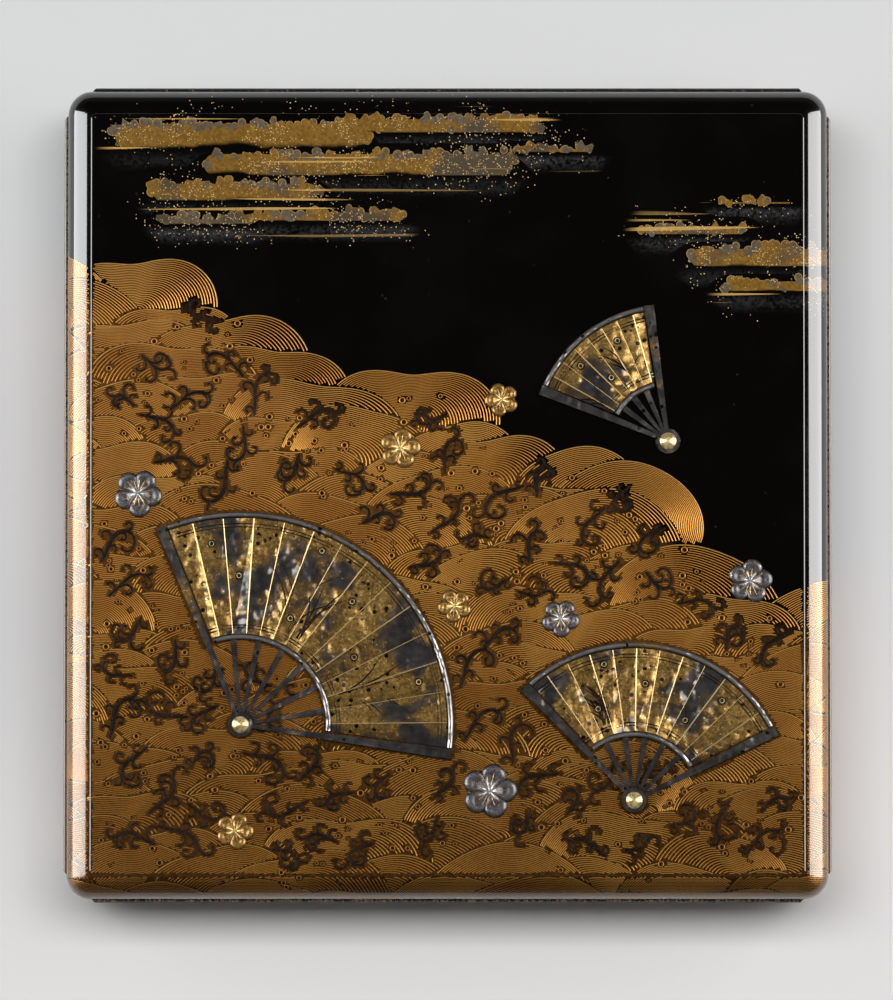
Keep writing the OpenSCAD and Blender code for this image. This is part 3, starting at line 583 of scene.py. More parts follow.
def strokes(name, skin, linked, half_width, rise, body, material, slot, tones=0.0):
    """Many thin raised strokes in one mesh, each a three-sided bar along its points.

    At each point stand a left foot, a crest and a right foot. The feet lie half a width to either side,
    square to the stroke's direction and to the surface's normal, a hair under the surface. The crest lies
    above the point by the rise. Three walls join linked neighbours, and a stroke's ends are closed."""
    places, normals = skin
    kept = linked | np.roll(linked, 1)
    new_index = np.cumsum(kept) - 1
    a = new_index[linked]
    b = a + 1
    places, normals = places[kept], normals[kept]
    half_width, rise, tones = [np.broadcast_to(v, kept.shape)[kept, None] for v in (half_width, rise, tones)]
    forward = np.zeros_like(places)
    np.add.at(forward, a, places[b] - places[a])
    np.add.at(forward, b, places[b] - places[a])
    across = np.cross(normals, forward)
    across *= half_width / np.maximum(np.linalg.norm(across, axis=1, keepdims=True), 1e-12)
    sunk = places - normals * 0.02 * MM
    vertices = np.stack([sunk + across, places + normals * rise, sunk - across], axis=1).reshape(-1, 3)
    walls = [np.stack([3 * a + q, 3 * a + p, 3 * b + p, 3 * b + q], axis=1)
             for p, q in ((0, 1), (1, 2), (2, 0))]
    starts, ends = np.setdiff1d(a, b), np.setdiff1d(b, a)
    caps = [starts[:, None] * 3 + [0, 1, 2], ends[:, None] * 3 + [0, 2, 1]]
    return piece(name, vertices, np.concatenate(walls), np.concatenate(caps), body, material, slot,
                 tone=np.repeat(tones, 3, axis=0), under=np.repeat(normals, 3, axis=0))


def rounds(name, skin, radii, profile, body, material, slot, sides=ROUND_SIDES):
    """Many small turned forms in one mesh. The profile lists radius, as a share of the form's own, and height
    above the surface. A profile that starts on the axis closes there, and any other closes as a ring."""
    places, normals = skin
    profile = np.array(profile)
    side_a = np.cross(normals, [0.0, 1.0, 0.0])
    side_a /= np.linalg.norm(side_a, axis=1, keepdims=True)
    side_b = np.cross(normals, side_a)
    angle = np.arange(sides) * 2 * np.pi / sides
    spokes = side_a[:, None] * np.cos(angle)[:, None] + side_b[:, None] * np.sin(angle)[:, None]
    vertices = (places[:, None, None] + spokes[:, None] * (profile[:, :1] * radii[:, None, None])[..., None]
                + (normals[:, None] * profile[:, 1:])[:, :, None])
    rings, turn = len(profile), np.arange(sides)
    first = np.arange(len(places)) * rings * sides
    ring, following = np.arange(rings), np.roll(np.arange(rings), -1)
    if profile[0, 0] == 0:
        ring, following = ring[:-1], following[:-1]
    corner = [r[:, None] * sides + t for r, t in ((ring, turn), (ring, np.roll(turn, -1)),
                                                 (following, np.roll(turn, -1)), (following, turn))]
    quads = first[:, None, None, None] + np.stack(corner, axis=-1)
    return piece(name, vertices.reshape(-1, 3), quads.reshape(-1, 4), np.zeros((0, 3), int), body, material,
                 slot, under=np.repeat(normals, rings * sides, axis=0))


def curling(start, heading, length, turn, extra_turn, count):
    """Points of curves that set off with a heading and turn more and more: x, y and the heading at each."""
    t = np.linspace(0, 1, count)
    headings = heading[:, None] + turn[:, None] * t + extra_turn[:, None] * t ** 2
    step = length[:, None] / (count - 1) * np.stack([np.cos(headings), np.sin(headings)])
    return start.T[:, :, None] + np.cumsum(step, axis=2) - step[:, :, :1], headings


def spread_out(count, spacing, low_gap, fan_gap):
    """Random places on the hills, more of them low down, all clear of fans and blossoms.

    No two are nearer than the spacing, and no more than the count are taken."""
    tries = rng.uniform(-1, 1, (SCROLL_TRIES, 2)) * (PANEL_X - 7 * MM, PANEL_Y - 6 * MM)
    depth = skyline(tries[:, 0]) - low_gap - tries[:, 1]
    good = (depth > rng.uniform(0, 50 * MM, len(depth))) & clear_of_fans(*tries.T, fan_gap)
    for _, middle, radius, _ in BLOSSOMS:
        good &= np.hypot(*(tries - middle).T) > radius + 0.6 * fan_gap
    chosen = []
    for place in tries[good]:
        if len(chosen) < count and all(np.hypot(*(place - other)) > spacing for other in chosen):
            chosen.append(place)
    return np.array(chosen)


def polar_place(fan, share, degrees):
    """A place seen from a fan's rivet: a share of its radius away, at an angle in degrees."""
    rivet, radius = np.array(FANS[fan][0]), FANS[fan][4]
    return rivet + share * radius * np.array([np.cos(np.radians(degrees)), np.sin(np.radians(degrees))])


# Each blossom's metal, middle, radius and turn, as in the solids
BLOSSOMS = [(metal, polar_place(fan, share, degrees), size * 7 * MM, np.radians(degrees + 18))
            for metal, fan, share, degrees, size in (
    ("silver", "large", 1.19, 114, 1), ("silver", "large", 1.21, -15, 1.14),
    ("silver", "middle", 1.24, 112, 0.79), ("silver", "middle", 1.57, 62, 0.93),
    ("gold", "large", 1.5, 60, 0.86), ("gold", "large", 0.5, 267, 0.79),
    ("gold", "large", 1.15, 29, 0.71), ("gold", "small", 1.25, 166, 0.71))]

# Stems: gently S-shaped, thick in the middle. Curls leave them on either side in turn and wind up tighter
scroll_places = spread_out(SCROLL_COUNT, SCROLL_SPACING, 9 * MM, 7 * MM)
scroll_number = len(scroll_places)
bend = rng.choice([-1.0, 1.0], scroll_number)
stem_length = rng.uniform(8, 17, scroll_number) * MM
stem_heading = rng.uniform(-0.6, 1.4, scroll_number) + np.pi * (rng.random(scroll_number) < 0.5)
stem_direction = np.stack([np.cos(stem_heading), np.sin(stem_heading)], axis=1)
stem_start = scroll_places - 0.45 * stem_length[:, None] * stem_direction
stems, stem_headings = curling(stem_start, stem_heading, stem_length, bend * 2.6, bend * -4.4, STEM_POINTS)
stem_t = np.linspace(0, 1, STEM_POINTS)
stem_half = (0.26 + 0.4 * np.sin(np.pi * stem_t) ** 0.8) * MM * rng.uniform(0.75, 1.35, (scroll_number, 1))
leaves = np.array([1, 7, 12, 17, 22, 27])
sides = np.where(np.arange(len(leaves)) % 2, -1.0, 1.0) * bend[:, None]
curl_start = stems[:, :, leaves].reshape(2, -1).T
curl_side = sides.ravel()
curl_number = len(curl_side)
curl_heading = stem_headings[:, leaves].ravel() + curl_side * rng.uniform(-0.1, 0.5, curl_number)
curl_length = rng.uniform(3.6, 8.6, curl_number) * MM
curls, _ = curling(curl_start, curl_heading, curl_length, curl_side * rng.uniform(0.2, 1.1, curl_number),
                   curl_side * rng.uniform(2.6, 4.2, curl_number), CURL_POINTS)
curl_t = np.linspace(0, 1, CURL_POINTS)
curl_half = (0.27 + 0.26 * (1 - curl_t) ** 0.8 + 0.24 * np.exp(-((curl_t - 0.96) / 0.06) ** 2)) * MM
curl_half = curl_half * rng.uniform(0.8, 1.15, (curl_number, 1))
scroll_xy = np.concatenate([stems.reshape(2, -1), curls.reshape(2, -1)], axis=1)
scroll_half = np.concatenate([stem_half.ravel(), curl_half.ravel()])
scroll_linked = np.concatenate([np.tile(stem_t < 1, scroll_number), np.tile(curl_t < 1, curl_number)])
scroll_allowed = on_lid(*scroll_xy) & clear_of_fans(*scroll_xy, 0.6 * MM)
scroll_linked &= scroll_allowed & np.roll(scroll_allowed, -1)

# Drops: a dark dome in a gold ring, thrown round the scrolls
DROPS_PER_SCROLL = 6
drop_places = np.repeat(scroll_places, DROPS_PER_SCROLL, axis=0)
drop_turn = rng.uniform(0, 2 * np.pi, len(drop_places))
drop_throw = rng.uniform(5, 11, len(drop_places)) * MM
drop_places = drop_places + (drop_throw * [np.cos(drop_turn), np.sin(drop_turn)]).T
drop_radii = rng.uniform(0.26, 0.66, len(drop_places)) * MM
kept = clear_of_fans(*drop_places.T, 1.5 * MM) & on_lid(*drop_places.T, 0.5)
kept &= drop_places[:, 1] < skyline(drop_places[:, 0]) - 8 * MM
for _, middle, radius, _ in BLOSSOMS:
    kept &= np.hypot(*(drop_places - middle).T) > radius + 1.5 * MM
away = np.hypot(*(drop_places[:, None] - scroll_xy.T[None, ::3]).transpose(2, 0, 1)).min(axis=1)
kept &= away > 1.2 * MM
drop_places, drop_radii = drop_places[kept], drop_radii[kept]


def cover_cells(x, y, offset=(0, 0)):
    """Row and column of the cells that hold the places, moved by an offset of whole cells."""
    cells = [np.round(along / COVER_CELL).astype(int) + moved
             for along, moved in ((y, offset[1]), (x, offset[0]))]
    return tuple(np.clip(cell + COVER_SIDE // 2, 0, COVER_SIDE - 1) for cell in cells)


# A grid of small cells marks where scrolls and drops lie, so that no hill line runs under them
cover = np.zeros((COVER_SIDE, COVER_SIDE), bool)
halfway = (scroll_xy.T[:-1] + scroll_xy.T[1:])[scroll_linked[:-1]] / 2
covered_xy = np.concatenate([scroll_xy.T, halfway, drop_places])
covered_r = np.concatenate([scroll_half, scroll_half[:-1][scroll_linked[:-1]], 1.5 * drop_radii]) + OUTLINE
cells_off = np.arange(-COVER_REACH, COVER_REACH + 1)
for offset in np.stack(np.meshgrid(cells_off, cells_off), axis=-1).reshape(-1, 2):
    marked = np.hypot(*offset) * COVER_CELL < covered_r
    cover[cover_cells(*covered_xy[marked].T, offset)] = True


def uncovered(x, y):
    """True where no scroll or drop lies."""
    return ~cover[cover_cells(x, y)]


def gold_line_material():
    """Gold powder on lacquer lines, under the same clear polished lacquer as the ground about them.

    The gold is warm and half dull, redder where rubbed thin, brighter on crests and paler on the fans."""
    material, n, shader, place = new_material("gold_lines", Metallic=0.5, Specular_IOR_Level=0.2,
                                              Coat_Weight=1.0, Coat_Roughness=0.17, Coat_IOR=1.55)
    n.put(n.add("ShaderNodeAttribute", 1, {"attribute_name": "under"}), shader["Coat Normal"])
    tone = n.add("ShaderNodeAttribute", 2, {"attribute_name": "tone"})
    clouds, front_shade_factor = wear_and_shade(n, place, 28.0)
    grain = n.noise(place, 2600.0, 2.0)
    rich = n.mix(tone, (0.56, 0.235, 0.032, 1), (0.7, 0.33, 0.06, 1))
    worn = n.mix(tone, (0.4, 0.145, 0.016, 1), (0.51, 0.21, 0.03, 1))
    colour = n.mix(clouds, rich, worn)
    colour = n.mix(n.between(tone, 1.2, 1.6), colour, (0.54, 0.28, 0.06, 1))
    colour = n.mix(n.between(tone, 2.4, 2.8), colour, (0.66, 0.46, 0.19, 1))
    colour = n.mix(n.between(grain, 0.5, 0.8, 0.0, 0.5), colour, (0.62, 0.4, 0.13, 1))
    # Painted shade: the gold darkens towards the front
    n.put(n.scaled(colour, front_shade_factor), shader["Base Color"])
    n.put(n.between(grain, 0.0, 1.0, 0.26, 0.44), shader["Roughness"])
    return material


def dark_scroll_material():
    """Raised lacquer, black with a breath of brown where it is rubbed."""
    material, n, shader, place = new_material("dark_scrolls", Specular_IOR_Level=0.08, **POLISHED)
    n.put(n.add("ShaderNodeAttribute", 1, {"attribute_name": "under"}), shader["Coat Normal"])
    clouds = wear_and_shade(n, place, 120.0)[0]
    grain = n.noise(place, 2400.0)
    colour = n.mix(clouds, (0.005, 0.0026, 0.0014, 1), (0.02, 0.0075, 0.0028, 1))
    n.put(n.mix(n.between(grain, 0.6, 0.72, 0.0, 0.5), colour, (0.09, 0.05, 0.015, 1)), shader["Base Color"])
    n.put(n.between(grain, 0.0, 1.0, 0.4, 0.6), shader["Roughness"])
    return material


gold_lines = gold_line_material()
dark_scrolls = dark_scroll_material()
strokes("scroll_outlines", lid_skin(*scroll_xy), scroll_linked, scroll_half + OUTLINE, 0.022 * MM, "lid",
        gold_lines, "gold_lined_lacquer", 1.3)
strokes("scrolls", lid_skin(*scroll_xy), scroll_linked, scroll_half, 0.075 * MM, "lid", dark_scrolls,
        "black_lacquer")
rounds("drop_rings", lid_skin(*drop_places.T), drop_radii,
       [(0.95, -0.02 * MM), (1.1, 0.08 * MM), (1.35, 0.08 * MM), (1.55, -0.02 * MM)], "lid", gold_lines,
       "gold_lined_lacquer")
rounds("drops", lid_skin(*drop_places.T), drop_radii,
       [(0, 0.07 * MM), (0.6, 0.055 * MM), (1.05, -0.01 * MM), (0, -0.02 * MM)], "lid", dark_scrolls,
       "black_lacquer")


# ---- Gold-lined hills ----
# Rows of overlapping hills are brushed on in lacquer lines, dusted with gold while wet, so each line stands
# up a little under the clear lacquer. Each hill is filled with shrunken copies of its own outline.
HILL_SPACING, HILL_ROW, HILL_JITTER = 27 * MM, 8.6 * MM, (4 * MM, 2.4 * MM)
HILL_RADII, HILL_PITCH = (15 * MM, 23 * MM), 0.64 * MM
SIDE_SPACING, SIDE_ROW, SIDE_JITTER = 19 * MM, 5.6 * MM, (2.5 * MM, 1.5 * MM)
SIDE_RADII, SIDE_PITCH = (10 * MM, 15 * MM), 0.85 * MM
LINE_STEP = 1.1 * MM
CREST_TONE = 2.0


def hill_outline(angle, tilt):
    """A hill's outline as a share of its radius: wide and low, and a little lopsided."""
    return 1 + 0.2 * np.cos(2 * angle) + 0.07 * np.cos(3 * angle + tilt)


def hill_lines(centres, radius_range, pitch, allowed):
    """Lines of overlapping hills: flat x and y, links to the next point, and each point's tone.

    The hills come in order from the back to the front. The k-th line of a hill is its outline shrunk by
    k pitches towards a point beside the hill's middle, so the lines crowd on one side. A point is kept
    where allowed(x, y) holds and where no later hill covers it."""
    count = len(centres)
    radii = rng.uniform(*radius_range, count)
    tilts = rng.uniform(0, 2 * np.pi, count)
    pitches = pitch * rng.uniform(0.88, 1.15, count)
    leans = rng.uniform(-0.5, 0.5, count)
    lines, hills, tones = [], [], []
    for i in range(count):
        angle = np.linspace(-0.4, np.pi + 0.4, max(int(radii[i] * 4.2 / LINE_STEP), 10))
        shrunk = np.arange(radii[i], 3 * pitches[i], -pitches[i])[:, None]
        reach = shrunk * hill_outline(angle, tilts[i])
        x = centres[i, 0] + (radii[i] - shrunk) * leans[i] + reach * np.cos(angle)
        y = centres[i, 1] + reach * np.sin(angle)
        ends = np.zeros(x.shape, bool)
        ends[:, -1] = True
        lines.append(np.stack([x, y, ends], axis=-1).reshape(-1, 3))
        hills.append(np.full(x.size, i))
        line_tones = np.full(x.shape, rng.random())
        line_tones[0] = CREST_TONE
        tones.append(line_tones.ravel())
    lines, hills, tones = np.concatenate(lines), np.concatenate(hills), np.concatenate(tones)
    x, y = lines[:, 0], lines[:, 1]
    seen = allowed(x, y)
    for j in range(count):
        dx, dy = x - centres[j, 0], y - centres[j, 1]
        close = np.flatnonzero(seen & (hills < j) & (np.abs(dx) < 1.4 * radii[j])
                               & (np.abs(dy) < 1.4 * radii[j]))
        edge = radii[j] * hill_outline(np.arctan2(dy[close], dx[close]), tilts[j]) + 0.6 * pitches[j]
        seen[close[np.hypot(dx[close], dy[close]) < edge]] = False
    linked = np.append(seen[:-1] & seen[1:], False) & (lines[:, 2] < 0.5)
    return x, y, linked, tones


def lattice(x_range, y_range, spacing, row_height, jitter):
    """Hill middles in offset rows from the back to the front, each moved a little at random."""
    middles = []
    for row, row_y in enumerate(np.arange(y_range[1], y_range[0], -row_height)):
        row_x = np.arange(*x_range, spacing) + row % 2 * spacing / 2
        moved = rng.uniform(-1, 1, (len(row_x), 2)) * jitter
        middles.append(np.column_stack([row_x, np.full(len(row_x), row_y)]) + moved)
    middles = np.concatenate(middles)
    return middles[np.argsort(-middles[:, 1])]


hill_middles = lattice((-PANEL_X - 30 * MM, PANEL_X + 31 * MM), (-PANEL_Y - 30 * MM, PANEL_Y),
                       HILL_SPACING, HILL_ROW, HILL_JITTER)
hill_middles = hill_middles[hill_middles[:, 1] + 14 * MM < skyline(hill_middles[:, 0])]
x, y, linked, tones = hill_lines(hill_middles, HILL_RADII, HILL_PITCH, lambda x, y: (
    on_lid(x, y) & clear_of_fans(x, y, 0.5 * MM) & uncovered(x, y)))
half_width = np.where(tones == CREST_TONE, 0.25 * MM, 0.215 * MM)
for part, chosen in (("west", x < -45 * MM), ("middle", np.abs(x) <= 45 * MM), ("east", x > 45 * MM)):
    strokes("hill_lines_" + part, lid_skin(x, y), linked & chosen, half_width, LINE_RISE, "lid", gold_lines,
            "gold_lined_lacquer", tones)

# The same hills, smaller and upright, run round the box's sides over lid and base, as far as the skyline.
# Along is measured to the right on each side as one looks at it. The corners are filled between the sides.
SIDE_TURNS = {"front": 0, "right": 1, "back": 2, "left": 3}


def turned(places, quarter):
    """Turns places about Z by quarter turns."""
    for _ in range(quarter):
        places = np.stack([-places[..., 1], places[..., 0], places[..., 2]], axis=-1)
    return places


def side_skin(along, z, quarter):
    """A point of a side's flat drawing: along the side at height z, on the face of the proud field."""
    face = BOX_HIGH[1 - quarter % 2]
    flat = np.stack([along, np.full(len(along), -face), z], axis=-1)
    return turned(flat, quarter), turned(np.tile([0.0, -1.0, 0.0], (len(along), 1)), quarter)


def corner_skin(along, z, quarter):
    """A point on the upright rounded corner to the right of a side: along is the arc from the side's end."""
    half = np.array([PANEL_X, PANEL_Y] if quarter % 2 == 0 else [PANEL_Y, PANEL_X])
    angle = along / EDGE_R
    normal = np.stack([np.sin(angle), -np.cos(angle), np.zeros(len(along))], axis=-1)
    flat = normal * EDGE_R
    flat[:, 0] += half[0]
    flat[:, 1] -= half[1]
    flat[:, 2] = z
    return turned(flat, quarter), turned(normal, quarter)


for side, quarter in SIDE_TURNS.items():
    half = (PANEL_X, PANEL_Y)[quarter % 2]
    for kind, skin, low, high in (("", side_skin, 1.3 * MM - half, half - 1.3 * MM),
                                  ("_corner", corner_skin, 0.5 * MM, EDGE_R * np.pi / 2 - 0.5 * MM)):
        middles = lattice((low - 12 * MM, high + 13 * MM), (-14 * MM, 34 * MM),
                          SIDE_SPACING, SIDE_ROW, SIDE_JITTER)
        grounds = skin(np.clip(middles[:, 0], low, high), middles[:, 1], quarter)[0]
        middles = middles[grounds[:, 1] + 10 * MM < skyline(grounds[:, 0])]
        if not len(middles):
            continue
        x, z, linked, tones = hill_lines(
            middles, SIDE_RADII, SIDE_PITCH,
            lambda x, z: (x > low) & (x < high) & (z > 3 * MM) & (z < LEDGE_Z - 0.5 * MM)
            & (np.abs(z - JOINT_Z) > 0.3 * MM))
        half_width = np.where(tones == CREST_TONE, 0.27 * MM, 0.21 * MM)
        for body, chosen in (("lid", z > JOINT_Z), ("base", z < JOINT_Z)):
            linked_here = linked & chosen & np.roll(chosen, -1)
            if linked_here.any():
                strokes(f"{body}_{side}{kind}_lines", skin(x, z, quarter), linked_here, half_width, LINE_RISE,
                        body, gold_lines, "gold_lined_lacquer", tones)


# ---- Fans ----
# Each fan is a pleated sheet of dusted metal on dark sticks, edged with half-round beads. The sheet carries
# fine raised lines: its folds, double arcs along both edges, and dark blades of grass.
LEAF_LOW, LEAF_HIGH, BEAD_W = 0.8 * MM, 1.5 * MM, 1.6 * MM


def relief_material(name, gold_from, gold_to, crest):
    """Aged pewter with gold dust drifted over it, bright flakes in the dust and black pits.

    Gold lies where a broad noise is above gold_from, fully above gold_to. The metal is lighter at the height
    of its crest, partly rubbed bright and partly a painted highlight along the ridges."""
    material, n, shader, place = new_material(name, Metallic=0.65)
    z = n.axes(place)[2]
    drift = n.noise(place, 60.0, 4.0, 0.62)
    grain = n.noise(place, 1300.0, 3.0, 0.6)
    share = n.between(drift, gold_from, gold_to)
    gold = n.mix(n.between(grain, 0.35, 0.65), (0.17, 0.086, 0.016, 1), (0.33, 0.2, 0.055, 1))
    pewter = n.mix(n.between(n.noise(place, 320.0, 3.0), 0.3, 0.7), (0.045, 0.041, 0.04, 1),
                   (0.09, 0.083, 0.08, 1))
    # Partly rubbed metal, partly a painted highlight: the pewter lightens near the crest
    rubbed = n.math("MULTIPLY", n.between(z, crest - 0.4 * MM, crest), n.between(drift, 0.3, 0.6, 1.0, 0.45))
    pewter = n.mix(rubbed, pewter, (0.34, 0.32, 0.3, 1))
    colour = n.mix(share, pewter, gold)
    flakes, flake_colour = dust(n, place, 1500.0, n.math("MULTIPLY", share, 0.3))
    colour = n.mix(n.math("MULTIPLY", flakes, 0.7), colour, flake_colour)
    pits = dust(n, place, 560.0, n.between(drift, 0.44, 0.62, 0.0, 0.3))[0]
    colour = n.mix(pits, colour, (0.004, 0.003, 0.003, 1))
    n.put(colour, shader["Base Color"])
    n.put(n.between(drift, 0.3, 0.7, 0.18, 0.34), shader["Roughness"])
    dents = n.math("MULTIPLY", n.noise(place, 240.0, 1.0), 60.0)
    pitted = n.math("SUBTRACT", n.math("MULTIPLY", grain, 0.2), pits)
    bump(n, shader, n.math("ADD", pitted, dents), 0.015 * MM)
    return material


def gilt_material():
    """Bright gold foil on the rims of studs and rivets, and dark lacquer down in the studs' dishes."""
    material, n, shader, place = new_material("gilt_metal", Metallic=0.5)
    z = n.axes(place)[2]
    grain = n.noise(place, 900.0, 3.0)
    colour = n.mix(n.between(grain, 0.35, 0.65), (0.5, 0.34, 0.13, 1), (0.8, 0.64, 0.34, 1))
    stud_top = float(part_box("ring_studs")[1][2])
    dish = n.math("MULTIPLY", n.between(z, stud_top - 0.2 * MM, stud_top - 0.1 * MM, 1.0, 0.0),
                  n.math("GREATER_THAN", z, stud_top - 0.6 * MM))
    colour = n.mix(dish, colour, (0.012, 0.008, 0.006, 1))
    n.put(colour, shader["Base Color"])
    n.put(n.between(grain, 0.2, 0.8, 0.18, 0.4), shader["Roughness"])
    return material


def leaf_skin(fan, r, angle):
    """A point on a fan's pleated sheet: r from the rivet, angle in degrees from the sheet's right edge.

    The sheet's height swings in a zigzag between its valleys and ridges, once up and down per two folds."""
    (rivet_x, rivet_y), turn, opening, folds, _ = FANS[fan]
    fold = opening / folds
    phase = angle / fold % 2
    lift = LEAF_LOW + (LEAF_HIGH - LEAF_LOW) * (1 - np.abs(phase - 1))
    slope = (LEAF_HIGH - LEAF_LOW) / (r * np.radians(fold)) * np.where(phase < 1, 1, -1)
    direction = np.radians(turn - opening / 2 + angle)
    places = np.stack([rivet_x + r * np.cos(direction), rivet_y + r * np.sin(direction),
                       PANEL_Z + lift], axis=-1)
    normals = np.stack([slope * np.sin(direction), -slope * np.cos(direction), np.ones(len(r))], axis=-1)
    return places, normals / np.linalg.norm(normals, axis=1, keepdims=True)


BEAD_TOP = float(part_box("large_fan_beads")[1][2])
relief_gold = relief_material("relief_gold", 0.4, 0.52, BEAD_TOP)
pewter_beads = relief_material("pewter_beads", 0.6, 0.75, BEAD_TOP)
pewter_sticks = relief_material("pewter_sticks", 0.58, 0.7, BEAD_TOP + 0.6 * MM)
gilt_metal = gilt_material()
for fan, (_, _, opening, folds, radius) in FANS.items():
    dress(fan + "_fan_leaf", relief_gold)
    dress(fan + "_fan_sticks", pewter_sticks)
    dress(fan + "_fan_beads", pewter_beads)
    fold = opening / folds
    inner, outer = radius * STICK_SHARE + BEAD_W + 0.3 * MM, radius - BEAD_W - 0.3 * MM
    arcs = np.arange(2.5, opening - 2.5, 0.5)
    arc_r = np.array([outer - 1.6 * MM, outer - 2.5 * MM, inner + 1.4 * MM, inner + 2.3 * MM])
    r, angle = np.repeat(arc_r, len(arcs)), np.tile(arcs, len(arc_r))
    strokes(fan + "_fan_arcs", leaf_skin(fan, r, angle), np.tile(arcs < arcs[-1], len(arc_r)), 0.16 * MM,
            0.06 * MM, "lid", dark_scrolls, "black_lacquer")
    ridge = np.linspace(inner, outer, 12)
    ridges = np.arange(1, folds) * fold
    r, angle = np.tile(ridge, len(ridges)), np.repeat(ridges, len(ridge))
    strokes(fan + "_fan_folds", leaf_skin(fan, r, angle), np.tile(ridge < ridge[-1], len(ridges)), 0.17 * MM,
            0.07 * MM, "lid", gold_lines, "gold_relief", 3.0)

    # Grass: sprays of blades grow from the inner edge, each bending further out
    sprays = np.repeat(rng.uniform(0.12, 0.88, folds // 3), 6) * opening
    blades = len(sprays)
    t = np.linspace(0, 1, 18)
    root = sprays + rng.uniform(-1.0, 1.0, blades)
    lean = rng.uniform(-14, 14, blades)
    height = rng.uniform(0.35, 0.92, blades) * (outer - inner - 6 * MM)
    r = inner + 3.2 * MM + height[:, None] * t
    angle = root[:, None] + lean[:, None] * t ** 1.8
    in_sheet = (angle > 3) & (angle < opening - 3)
    half_width = 0.05 * MM + 0.2 * MM * np.sin(np.pi * np.clip(t + 0.1, 0, 1)) ** 0.7
    half_width = np.broadcast_to(half_width, r.shape)
    linked = in_sheet & np.roll(in_sheet, -1, axis=1) & (t < 1)
    strokes(fan + "_fan_grass", leaf_skin(fan, r.ravel(), angle.ravel()), linked.ravel(), half_width.ravel(),
            0.07 * MM, "lid", dark_scrolls, "black_lacquer")
dress("fan_rivets", gilt_metal)
dress("ring_studs", gilt_metal)


# ---- Blossoms ----
# Each blossom is built up in lacquer and covered with thin sheet metal, silver or gold. Its five petals
# are cupped round a domed heart, and stamens are drawn on them in gold powder with a dot on each end.
BLOSSOM_H = 1.3 * MM
PETAL_R, PETAL_OUT = 0.46, 0.56
RINGS, AROUND = 26, 120
STAMENS, STAMEN_POINTS = 15, 8


def petal_off(angle):
    """The angle from the nearest petal's middle line."""
    return (angle + np.pi / 5) % (2 * np.pi / 5) - np.pi / 5


def blossom_skin(middle, radius, turn, share, angle):
    """A point of a blossom, at an angle from its first petal and a share of the way out to its outline.

    The outline is that of five circles in a ring. The height is a rim that drops steeply at the end, less
    a cup in each petal and a crease between petals, plus a dome for the heart."""
    off = petal_off(angle)
    reach = radius * (PETAL_OUT * np.cos(off) + np.sqrt(PETAL_R ** 2 - (PETAL_OUT * np.sin(off)) ** 2))
    petal = np.cos(2.5 * off)
    rim = np.sqrt(np.clip(1 - share ** 7, 0, 1))
    cup = 0.42 * np.exp(-((share - 0.55) / 0.2) ** 2) * petal
    crease = 0.45 * (1 - petal) ** 2 * np.clip(share * 2, 0, 1)
    height = BLOSSOM_H * (rim * (0.95 - cup - crease) + 0.3 * np.exp(-(share / 0.2) ** 4)) - 0.02 * MM
    return np.stack([middle[0] + share * reach * np.cos(angle + turn),
                     middle[1] + share * reach * np.sin(angle + turn), PANEL_Z + height], axis=-1)


def petal_material(name, deep, middle_tone, edge):
    """Sheet metal that is dark down in the cups and creases and rubbed bright along the petals' rims."""
    material, n, shader, place = new_material(name, Metallic=0.55)
    z = n.axes(place)[2]
    clouds = wear_and_shade(n, place, 180.0)[0]
    grain = n.noise(place, 1500.0, 3.0)
    low = float(PANEL_Z + 0.35 * BLOSSOM_H)
    colour = n.mix(n.between(z, low, low + 0.3 * BLOSSOM_H), deep, middle_tone)
    colour = n.mix(n.math("MULTIPLY", n.between(z, low + 0.32 * BLOSSOM_H, low + 0.62 * BLOSSOM_H), n.between(
        clouds, 0.0, 1.0, 1.0, 0.5)), colour, edge)
    flakes, flake_colour = dust(n, place, 1800.0, 0.12)
    colour = n.mix(n.math("MULTIPLY", flakes, 0.6), colour, flake_colour)
    n.put(colour, shader["Base Color"])
    n.put(n.between(grain, 0.2, 0.8, 0.2, 0.4), shader["Roughness"])
    bump(n, shader, grain, 0.01 * MM)
    return material


